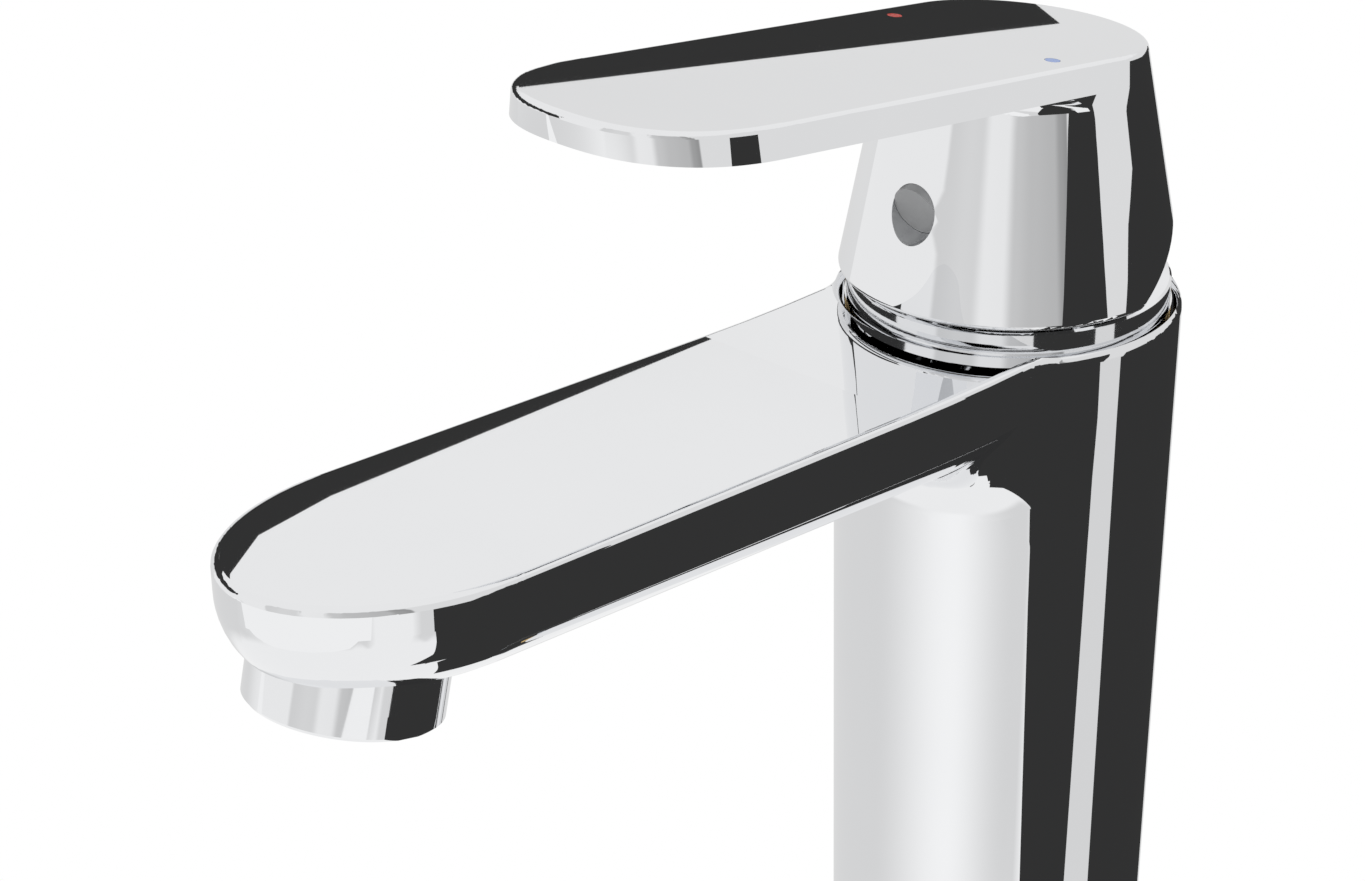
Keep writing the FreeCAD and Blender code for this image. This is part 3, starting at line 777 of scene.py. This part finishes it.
FRONT_AT = (0.18, 0.0)
FAR_AT = (-0.163, 0.0)
# Glowing cards that only reflections show: they paint the dark bands and pale patches in the
# chrome's reflections.
CARDS = (
    # Painted dark reflection: the left dark band of column and cap, the lever's edge and the end of
    # the spout's side.
    Card("front_card", FRONT_AT, 0.0, (-0.13, -0.42), (0.06, 0.172), (
        ((0.012, -0.09), (0.044, 0.16)),
        ((-0.02, 0.172), (-0.12, 0.044)),
        ((-0.12, 0.044), (-0.094, -0.09)),
    )),
    # Painted dark reflection: the right dark band of column and cap, and most of the spout's side.
    Card("side_card", (0.394, 0.3078), 38.0, (-0.086, -4.2), (1.55, 0.12), (
        ((1.55, 0.12), (0.045, 0.09)),
        ((0.045, 0.09), (-0.086, 0.0652)),
        ((-0.086, -1.4), (1.55, -4.2)),
    )),
    # Dark cards over what these two leave light, painting dark reflections there: the spout's lower
    # corner, its root, and a line near its tip.
    Card("low_card", FRONT_AT, 0.0, (-0.08, -0.38), (0.03, -0.085)),
    Card("root_card", (0.03, 0.0), 0.0, (-0.0195, 0.06), (-0.0075, 0.13)),
    Card("gap_card", (0.1, 0.0), 0.0, (-0.052, 0.015), (-0.038, 0.065)),
    # Painted dark reflection: the dark strip along the far edges of the lever's and the spout's
    # tops, and round the tip.
    Card("far_card", FAR_AT, 0.0, (-0.26, 0.16), (0.251, 0.2437), (
        ((0.251, 0.1943), (-0.26, 0.2437)),
        ((0.15, 0.16), (0.2295, 0.191)),
        ((0.2295, 0.191), (0.251, 0.1943)),
    )),
    Card("far_post", FAR_AT, 0.0, (-0.006, 0.21), (-0.0034, 0.235)),
    Card("far_wedge", FAR_AT, 0.0, (-0.006, 0.21), (0.003, 0.2262), (
        ((0.003, 0.2202), (-0.0034, 0.2262)),
    )),
    Card("far_foot", FAR_AT, 0.0, (-0.006, 0.21), (0.022, 0.2202), (
        ((0.022, 0.2162), (0.003, 0.2202)),
    )),
    # A bright glowing card, a painted pale reflection: the pale wall of the spout's tip.
    Card("tip_card", (0.0, -0.25), -90.0, (-0.3, -0.1), (0.45, 0.08), (
        ((-0.3, 0.0), (0.1, -0.008)),
        ((0.1, -0.008), (0.45, -0.1)),
    ), level=0.97),
)


@dataclass(frozen=True)
class Surround:
    """The brightness that reflections find behind the cards.

    Directions are in degrees: round from +X, and up from level.
    """

    light_level: float = 0.9
    low_level: float = 0.735
    glow_level: float = 0.27
    gap_level: float = 0.79
    deep_level: float = 0.94
    glow_round: tuple[float, float, float] = (-145.0, -82.0, -38.0)
    beside_round: tuple[float, float, float, float] = (-32.0, -27.0, -9.0, -5.0)
    deep_up: float = -38.0
    rise_up: float = -17.0
    high_up: float = 42.0
    soft_up: float = 8.0
    behind_round: float = 60.0
    behind_soft: float = 10.0
    behind_drop: float = 24.0
    right_round: float = -9.0
    right_soft: float = 2.0
    streaks_round: Spot = (-110.0, -10.0)
    streaks: tuple[Spot, ...] = (
        (0.0, 0.905), (0.06, 0.905), (0.1, 0.7), (0.26, 0.74), (0.34, 0.73), (0.42, 0.9),
        (0.54, 0.89), (0.62, 0.62), (0.74, 0.555), (0.9, 0.52), (0.95, 0.38), (1.0, 0.33))

    def level(self, graph: Graph) -> Socket:
        """The brightness in each direction.

        Args:
            graph: the world's graph.

        Returns:
            The level, from dark to light.
        """
        way = graph.node("ShaderNodeTexCoord", output="Generated")
        parts = graph.node("ShaderNodeSeparateXYZ", {}, {0: way})
        round_deg = parts.maths("ARCTAN2", parts.out("Y"), parts.out("X")) * math.degrees(1.0)
        up_deg = parts.maths("ARCSINE", parts.out("Z")) * math.degrees(1.0)
        low = self.low_part(graph, round_deg, up_deg)
        upper = self.upper_part(graph, round_deg, up_deg)
        return low + graph.past(up_deg, self.rise_up, self.soft_up) * (upper - low)

    def low_part(self, graph: Graph, round_deg: Socket, up_deg: Socket) -> Socket:
        """The part below: a glow in front of the column, a bright patch beside it, a pale ground.

        Args:
            graph: the world's graph.
            round_deg: the direction round.
            up_deg: the direction up.

        Returns:
            The part's level.
        """
        start, crest, end = self.glow_round
        glow = graph.ranged(round_deg, start, crest, 0.0, 1.0, smooth=True)
        glow = glow * graph.ranged(round_deg, crest, end, 1.0, 0.0, smooth=True)
        opens, opened, closes, closed = self.beside_round
        beside = graph.ranged(round_deg, opens, opened, 0.0, 1.0)
        beside = beside * graph.ranged(round_deg, closes, closed, 1.0, 0.0)
        low = self.low_level + glow * self.glow_level
        low = low + beside * (self.deep_level - self.low_level)
        deep = graph.past(up_deg, self.deep_up, self.soft_up)
        return self.deep_level + deep * (low - self.deep_level)

    def upper_part(self, graph: Graph, round_deg: Socket, up_deg: Socket) -> Socket:
        """The part above: streaks in front, an even wall to the right, and light over both.

        Args:
            graph: the world's graph.
            round_deg: the direction round.
            up_deg: the direction up.

        Returns:
            The part's level.
        """
        along = graph.ranged(round_deg, *self.streaks_round, 0.0, 1.0)
        streaks = graph.node("ShaderNodeValToRGB", {"stops": self.streaks}, {0: along})
        right = graph.past(round_deg, self.right_round, self.right_soft)
        wall = streaks + right * (self.gap_level - streaks)
        behind = graph.past(round_deg, self.behind_round, self.behind_soft)
        high = graph.past(up_deg + behind * self.behind_drop, self.high_up, self.soft_up)
        return wall + high * (self.light_level - wall)


@dataclass(frozen=True)
class Studio:
    """The white room: camera, floor, lamp, reflected cards and world. Lengths are in metres."""

    camera_at: Place = (0.25115, -0.32157, 0.3045)
    turn_deg: float = 44.331
    tilt_deg: float = 63.843
    roll_deg: float = -0.632
    focal_px: float = 3201.4
    sensor_mm: float = 36.0
    clip_start: float = 0.01
    floor_reach: float = 6.0
    floor_sides: int = 64
    floor_colour: Colour = (0.88, 0.88, 0.88)
    shadow_fades: Spot = (0.07, 0.11)
    lamp_at: Place = (0.35, -0.6, 1.0)
    lamp_size: float = 0.9
    lamp_watts: float = 6.0
    fill_colour: Colour = (0.72, 0.72, 0.72)
    surround: Surround = Surround()

    def build(self) -> None:
        """Sets up everything around the tap."""
        self.add_camera()
        self.add_floor()
        self.add_lamp()
        for card in CARDS:
            card.hang()
        self.add_world()
        bpy.context.scene.view_settings.view_transform = "Standard"

    def add_camera(self) -> None:
        """The camera at the photograph's angle."""
        lens = bpy.data.cameras.new("camera")
        lens.sensor_width = self.sensor_mm
        lens.lens = self.focal_px * self.sensor_mm / PHOTO_WIDTH_PX
        lens.clip_start = self.clip_start
        camera = bpy.data.objects.new("camera", lens)
        turn = turned(self.turn_deg, Axis.Z)
        tilt = turned(self.tilt_deg, Axis.X)
        roll = turned(self.roll_deg, Axis.Z)
        camera.matrix_world = Matrix.Translation(self.camera_at) @ turn @ tilt @ roll
        bpy.context.scene.collection.objects.link(camera)
        bpy.context.scene.camera = camera

    def add_floor(self) -> None:
        """A pale floor that keeps the shadow near the tap and is white further out."""
        shape = bmesh.new()
        bmesh.ops.create_circle(
            shape, cap_ends=True, segments=self.floor_sides, radius=self.floor_reach)
        floor = new_object("floor", shape)
        floor.location.z = CAD_BOX[0].z
        graph = new_material("floor_white")
        measured = {0: graph.place()}
        distance = graph.node(
            "ShaderNodeVectorMath", {"operation": "LENGTH"}, measured, output="Value")
        away = graph.ranged(distance, *self.shadow_fades, 0.0, 1.0, smooth=True)
        seen = graph.node("ShaderNodeLightPath", output=Ray.CAMERA.value)
        pale = graph.node("ShaderNodeBsdfDiffuse", {}, {"Color": (*self.floor_colour, 1.0)})
        mix = {0: seen * away, 1: pale, 2: graph.glowing(WHITE)}
        graph.end(graph.node("ShaderNodeMixShader", {}, mix))
        floor.data.materials.append(MADE["floor_white"])
        floor.visible_glossy = False

    def add_lamp(self) -> None:
        """One large soft lamp above the front, which faces the origin."""
        light = bpy.data.lights.new("soft_lamp", "AREA")
        light.shape = "DISK"
        light.size = self.lamp_size
        light.energy = self.lamp_watts
        lamp = bpy.data.objects.new("soft_lamp", light)
        lamp.location = self.lamp_at
        lamp.rotation_euler = Vector(self.lamp_at).to_track_quat("Z", "Y").to_euler()
        lamp.visible_glossy = False
        bpy.context.scene.collection.objects.link(lamp)

    def add_world(self) -> None:
        """White for the camera, the surround for reflections and plain soft light for the rest."""
        world = bpy.data.worlds.new("studio")
        world.use_nodes = True
        world.cycles.sampling_method = "NONE"
        bpy.context.scene.world = world
        graph = Graph(world.node_tree)
        path = graph.node("ShaderNodeLightPath", output=Ray.CAMERA.value)
        mirror = path.out(Ray.GLOSSY.value) | path.out(Ray.TRANSMISSION.value)
        level = self.surround.level(graph)
        grey = graph.node("ShaderNodeCombineColor", {}, {0: level, 1: level, 2: level})
        soft = graph.mixed(mirror, self.fill_colour, grey)
        colour = graph.mixed(path, soft, WHITE)
        shown = graph.node("ShaderNodeBackground", {}, {"Color": colour, "Strength": 1.0})
        graph.node("ShaderNodeOutputWorld", {}, {"Surface": shown})


@dataclass
class BodyCasting:
    """The chromed casting, with the soft blend where the spout leaves the column.

    Lengths are in millimetres. A reach is a distance in front of the column's axis. The last three
    values are measured from the casting.
    """

    half_width: float = 18.5
    under_round: float = 11.0
    base_radius: float = 22.6
    column_flare: float = 0.01049
    side_blend: float = 9.1
    corner_blend: float = 15.0
    arch_blend: float = 9.5
    skin: float = 0.03
    wall: float = 0.5
    round_steps: int = 320
    across_steps: int = 64
    settling_rounds: int = 4
    key_digits: int = 7
    under_reaches: Spot = (50.0, 70.0)
    under_from: float = 60.0
    top_reach: float = 20.0
    top_inset: float = 2.5
    top_from: float = 200.0
    top_margin: float = 2.0
    under_slope: float = 0.0
    under_low: float = 0.0
    top: float = 0.0

    def build(self) -> None:
        """Builds the blend over the casting, as a thin closed shell."""
        self.measure(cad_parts["body"])
        rows = [self.arc(step / self.round_steps) for step in range(self.round_steps + 1)]
        shape = bmesh.new()
        bmesh.ops.create_grid(
            shape, x_segments=self.round_steps, y_segments=self.across_steps, size=0.5)
        lift: dict[bmesh.types.BMVert, float] = {}
        for corner in shape.verts:
            round_share, across = corner.co.x + 0.5, corner.co.y + 0.5
            lift[corner] = self.skin * math.sin(math.pi * across)**2
            row = rows[round(round_share * self.round_steps)]
            corner.co = row[round(across * self.across_steps)]
        shape.normal_update()
        lowest = min(shape.faces, key=lambda face: face.calc_center_median().z)
        if lowest.normal.y > 0.0:
            bmesh.ops.reverse_faces(shape, faces=shape.faces)
            shape.normal_update()
        for corner, height in lift.items():
            corner.co += corner.normal * (height * MM)
        shape.normal_update()
        outside = {self.key(corner.co): corner.normal.copy() for corner in shape.verts}
        for row in rows:
            spout, column = self.skin_ways(row[0], row[-1])
            outside[self.key(row[0])], outside[self.key(row[-1])] = spout, column
        bmesh.ops.solidify(shape, geom=list(shape.faces), thickness=self.wall * MM)
        blend = new_object("root_blend", shape)
        blend.data.shade_smooth()
        blend.data.normals_split_custom_set_from_vertices([
            outside.get(self.key(corner.co), corner.normal.copy())
            for corner in blend.data.vertices])
        carry(blend, BODY_CHROME)

    def key(self, point: Vector) -> Place:
        """A point rounded so that it can be looked up."""
        return point.to_tuple(self.key_digits)

    def measure(self, body: bpy.types.Object) -> None:
        """Reads the spout's underside and top edge from the casting.

        Args:
            body: the casting.
        """
        near_reach, far_reach = self.under_reaches
        near, far = (
            self.probe(body, (0.0, -reach, self.under_from), UP) for reach in self.under_reaches)
        self.under_slope = (far - near) / (far_reach - near_reach)
        self.under_low = near - near_reach * self.under_slope
        edge = (self.half_width - self.top_inset, -self.top_reach, self.top_from)
        self.top = self.probe(body, edge, DOWN) - self.top_margin

    @staticmethod
    def probe(body: bpy.types.Object, start: Place, way: Place) -> float:
        """The height at which a straight line meets the casting.

        Args:
            body: the casting.
            start: where the line starts.
            way: the line's direction.

        Returns:
            The height in millimetres.
        """
        return body.ray_cast(Vector(start) * MM, Vector(way))[1].z / MM

    def section(self, share: float, low: float) -> tuple[float, float, float]:
        """A point on the spout's section, from one top edge round the underside to the other.

        Args:
            share: how far along the section, from 0 to 1.
            low: the underside's height.

        Returns:
            The point's x and z, and the turn of its outward direction from sideways (0) to down.
        """
        side = self.top - low - self.under_round
        corner = self.under_round * math.pi / 2
        flat = self.half_width - self.under_round
        mirrored = 1.0 if share <= 0.5 else -1.0
        along = (side + corner + flat) * 2 * min(share, 1.0 - share)
        if along <= side:
            return mirrored * self.half_width, self.top - along, 0.0
        if along <= side + corner:
            turn = (along - side) / self.under_round
            x = flat + self.under_round * math.cos(turn)
            return mirrored * x, low + self.under_round * (1.0 - math.sin(turn)), turn
        return mirrored * (flat - (along - side - corner)), low, math.pi / 2

    def blend_radius(self, turn: float) -> float:
        """The blend's radius.

        Args:
            turn: the section's outward direction, from sideways (0) to down.

        Returns:
            The radius, from the side's through the corner's to the arch's.
        """
        middle = (self.side_blend + self.arch_blend) / 2
        blend = middle + (self.side_blend - self.arch_blend) / 2 * math.cos(2 * turn)
        return blend + (self.corner_blend - middle) * math.sin(2 * turn)**2

    def arc(self, share: float) -> list[Vector]:
        """One arc of the blend, from the spout's skin to the column's.

        Args:
            share: its place round the section, from 0 to 1.

        Returns:
            The arc's points in metres.
        """
        mirrored = 1.0 if share <= 0.5 else -1.0
        reach = self.base_radius
        for _ in range(self.settling_rounds):
            x, z, turn = self.section(share, self.under_low + self.under_slope * reach)
            radius = self.base_radius + self.column_flare * z
            opening = math.acos(math.cos(turn) * abs(x) / radius)
            blend = self.blend_radius(turn)
            length = blend * math.tan(opening / 2)
            reach = math.sqrt(radius**2 - x**2) + length
        start = Vector((x, -reach, z))
        round_way, down_way = math.cos(turn), math.sin(turn)
        angle = math.asin(abs(x) / radius) + length * round_way / radius
        height = z - length * down_way
        radius = self.base_radius + self.column_flare * height
        end = Vector((mirrored * radius * math.sin(angle), -radius * math.cos(angle), height))
        spout_way = Vector((0.0, -1.0, self.under_slope * down_way)).normalized()
        column_way = Vector((
            mirrored * math.cos(angle) * round_way, math.sin(angle) * round_way, -down_way))
        pull = blend * math.tan(opening / 4) * 4 / 3
        first_pull, last_pull = start - spout_way * pull, end - column_way.normalized() * pull
        points = []
        for step in range(self.across_steps + 1):
            t = step / self.across_steps
            point = start * (1 - t)**3 + first_pull * (3 * t * (1 - t)**2)
            points.append((point + last_pull * (3 * t**2 * (1 - t)) + end * t**3) * MM)
        return points

    def skin_ways(self, start: Vector, end: Vector) -> tuple[Vector, Vector]:
        """The outward directions of the spout's and the column's skin at an arc's ends.

        Args:
            start: the arc's end on the spout.
            end: its end on the column.

        Returns:
            Both directions.
        """
        x, z = start.x / MM, start.z / MM
        low = self.under_low - self.under_slope * start.y / MM
        flat = self.half_width - self.under_round
        aside = math.copysign(max(abs(x) - flat, 0.0), x)
        below = max(low + self.under_round - z, 0.0)
        spout = Vector((aside, -self.under_slope * below, -below))
        column = Vector((end.x, end.y, -math.hypot(end.x, end.y) * self.column_flare))
        return spout.normalized(), column.normalized()


@dataclass(frozen=True)
class FixingKit:
    """The stud, nut, washer and gasket under the deck. Lengths are in millimetres."""

    stud_y: float = 11.0
    stud_radius: float = 3.95
    stud_low: float = -46.0
    stud_high: float = 64.0
    pitch: float = 1.25
    thread_depth: float = 0.62
    thread_shares: tuple[float, ...] = (0.0, 0.16, 0.56, 0.72, 1.0)
    thread_steps: int = 28
    spare_turns: int = 2
    nut_sides: int = 6
    nut_flats: float = 13.0
    nut_corners: float = 15.01
    nut_low: float = -42.0
    nut_high: float = -35.5
    nut_bore: float = 4.0
    face_inset: float = 0.3
    chamfer: float = 0.75
    soft_edge: float = 0.45
    soft_steps: int = 3
    flat_deg: float = 0.5
    edge_deg: float = 60.0

    def build(self) -> None:
        self.build_stud()
        self.build_nut()
        self.soften("deck_gasket", GASKET_RUBBER)
        self.soften("horseshoe_washer", ZINC_STEEL)

    def build_stud(self) -> None:
        """A stud with a helical thread, cut square at both ends."""
        shape = bmesh.new()
        crest, root = self.stud_radius, self.stud_radius - self.thread_depth
        profile = zip((root, root, crest, crest, root), self.thread_shares)
        start = self.stud_low - self.spare_turns * self.pitch
        turns = math.ceil((self.stud_high - self.stud_low) / self.pitch) + 2 * self.spare_turns
        corners = [
            shape.verts.new((radius * MM, 0.0, (start + share * self.pitch) * MM))
            for radius, share in profile]
        edges = [shape.edges.new(pair) for pair in zip(corners, corners[1:])]
        rise = (0.0, 0.0, self.pitch * MM / self.thread_steps)
        bmesh.ops.spin(
            shape, geom=[*corners, *edges], cent=ORIGIN, axis=UP, dvec=rise, angle=math.tau,
            steps=self.thread_steps)
        made = 1
        while made < turns:
            raised = corners_among(bmesh.ops.duplicate(shape, geom=whole(shape))["geom"])
            bmesh.ops.translate(shape, verts=raised, vec=(0.0, 0.0, made * self.pitch * MM))
            made *= 2
        bmesh.ops.remove_doubles(shape, verts=shape.verts, dist=THREAD_SEAM)
        for height, way in ((self.stud_low, DOWN), (self.stud_high, UP)):
            rim = cut_away(shape, (0.0, 0.0, height * MM), way)
            bmesh.ops.edgenet_fill(shape, edges=rim)
        stud = self.placed("threaded_stud", shape)
        smooth_below(stud, angle_deg=28.0)
        carry(stud, ZINC_STEEL, ["fixing_stud"])

    def build_nut(self) -> None:
        """A turned blank with chamfered ends, cut to flats."""
        shape = bmesh.new()
        corner, bore, flat = self.nut_corners / 2, self.nut_bore, self.nut_flats / 2
        face = flat - self.face_inset
        low, high, chamfer = self.nut_low, self.nut_high, self.chamfer
        lathe(shape, (
            (bore, low + chamfer), (bore + chamfer, low), (face, low), (corner, low + chamfer),
            (corner, high - chamfer), (face, high), (bore + chamfer, high), (bore, high - chamfer)))
        for side in range(self.nut_sides):
            way = Vector((0.0, 1.0, 0.0))
            way.rotate(turned(360.0 / self.nut_sides * side, Axis.Z))
            rim = cut_away(shape, way * (flat * MM), way)
            bmesh.ops.edgeloop_fill(shape, edges=rim)
        nut = self.placed("chamfered_nut", shape)
        smooth_below(nut, angle_deg=25.0)
        carry(nut, NUT_BRASS, ["stud_nut"])

    def placed(self, name: str, shape: bmesh.types.BMesh) -> bpy.types.Object:
        """Moves a turned mesh from the origin to the stud's axis.

        Args:
            name: the object's name.
            shape: the mesh, which is freed.

        Returns:
            The linked object.
        """
        bmesh.ops.recalc_face_normals(shape, faces=shape.faces)
        bmesh.ops.translate(shape, verts=shape.verts, vec=(0.0, self.stud_y * MM, 0.0))
        return new_object(name, shape)

    def soften(self, node: str, finish: Finish) -> None:
        """Stands a copy with rounded edges in for a CAD node.

        Args:
            node: the node's name.
            finish: the copy's finish.
        """
        shape = bmesh.new()
        shape.from_mesh(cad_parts[node].data)
        bmesh.ops.remove_doubles(shape, verts=shape.verts, dist=MESH_SEAM)
        bmesh.ops.dissolve_limit(
            shape, angle_limit=math.radians(self.flat_deg), verts=shape.verts, edges=shape.edges)
        sharp = [
            edge for edge in shape.edges
            if len(edge.link_faces) == 2
            and edge.calc_face_angle() > math.radians(self.edge_deg)
            and abs(edge.verts[0].co.z - edge.verts[1].co.z) < MESH_SEAM]
        bmesh.ops.bevel(
            shape, geom=sharp, offset=self.soft_edge * MM, offset_type="OFFSET",
            segments=self.soft_steps, profile=0.5, affect="EDGES", clamp_overlap=True, material=-1)
        copy = new_object(f"soft_{node}", shape)
        copy.data.materials.clear()
        smooth_below(copy, angle_deg=35.0)
        carry(copy, finish, [node])


@dataclass(frozen=True)
class Aerator:
    """The grid at the spout's mouth. Lengths are in millimetres."""

    axis_y: float = -121.1
    axis_z: float = 114.5
    tilt_deg: float = 14.4
    rim_radius: float = 10.35
    rim_width: float = 1.5
    cell: float = 1.55
    bar: float = 0.36
    hole_share: float = 0.98

    def build(self) -> None:
        """Builds the grid in the screen's place."""
        axis = Matrix.Translation(Vector((0.0, self.axis_y, self.axis_z)) * MM)
        axis = axis @ turned(-self.tilt_deg, Axis.X)
        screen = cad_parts["aerator_screen"].data
        heights = [(axis.inverted() @ corner.co).z for corner in screen.vertices]
        low, high = min(heights), max(heights)
        shape = bmesh.new()
        self.add_bars(shape, low, high)
        self.add_rim(shape, low, high)
        bmesh.ops.transform(shape, matrix=axis, verts=shape.verts)
        grid = new_object("outlet_grid", shape)
        smooth_below(grid, angle_deg=30.0)
        carry(grid, SCREEN_PLASTIC, ["aerator_screen"])

    def add_bars(self, shape: bmesh.types.BMesh, low: float, high: float) -> None:
        """Adds the crossed bars between the square openings.

        Args:
            shape: the mesh that takes them.
            low: their lower side in metres along the axis.
            high: their upper side.
        """
        count = math.ceil(2 * self.rim_radius / self.cell)
        bmesh.ops.create_grid(
            shape, x_segments=count, y_segments=count, size=count * self.cell * MM / 2)
        inner = (self.rim_radius - self.rim_width) * MM
        beyond = [face for face in shape.faces if face.calc_center_median().length >= inner]
        bmesh.ops.delete(shape, geom=beyond, context="FACES")
        bmesh.ops.inset_individual(
            shape, faces=list(shape.faces), thickness=self.bar * MM / 2, use_even_offset=True)
        hole_area = (self.cell - self.bar)**2 * MM**2 * self.hole_share
        holes = [face for face in shape.faces if face.calc_area() > hole_area]
        bmesh.ops.delete(shape, geom=holes, context="FACES")
        bmesh.ops.translate(shape, verts=shape.verts, vec=(0.0, 0.0, low))
        pulled = bmesh.ops.extrude_face_region(shape, geom=list(shape.faces))
        raised = corners_among(pulled["geom"])
        bmesh.ops.translate(shape, verts=raised, vec=(0.0, 0.0, high - low))
        bmesh.ops.recalc_face_normals(shape, faces=shape.faces)

    def add_rim(self, shape: bmesh.types.BMesh, low: float, high: float) -> None:
        """Adds the ring round the bars.

        Args:
            shape: the mesh that takes it.
            low: its lower side in metres along the axis.
            high: its upper side.
        """
        ring = bmesh.new()
        inner, outer = self.rim_radius - self.rim_width, self.rim_radius
        bottom, top = low / MM, high / MM
        lathe(ring, ((inner, bottom), (outer, bottom), (outer, top), (inner, top)))
        hoop = bpy.data.meshes.new("hoop")
        ring.to_mesh(hoop)
        ring.free()
        shape.from_mesh(hoop)
        bpy.data.meshes.remove(hoop)


def main() -> None:
    """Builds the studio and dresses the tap."""
    logging.basicConfig(level=logging.INFO)
    Studio().build()
    for finish, nodes in NODES_BY_FINISH.items():
        for node in nodes:
            dress_node(node, finish)
    for assembly in (BodyCasting(), FixingKit(), Aerator()):
        assembly.build()


if __name__ == "__main__":
    main()
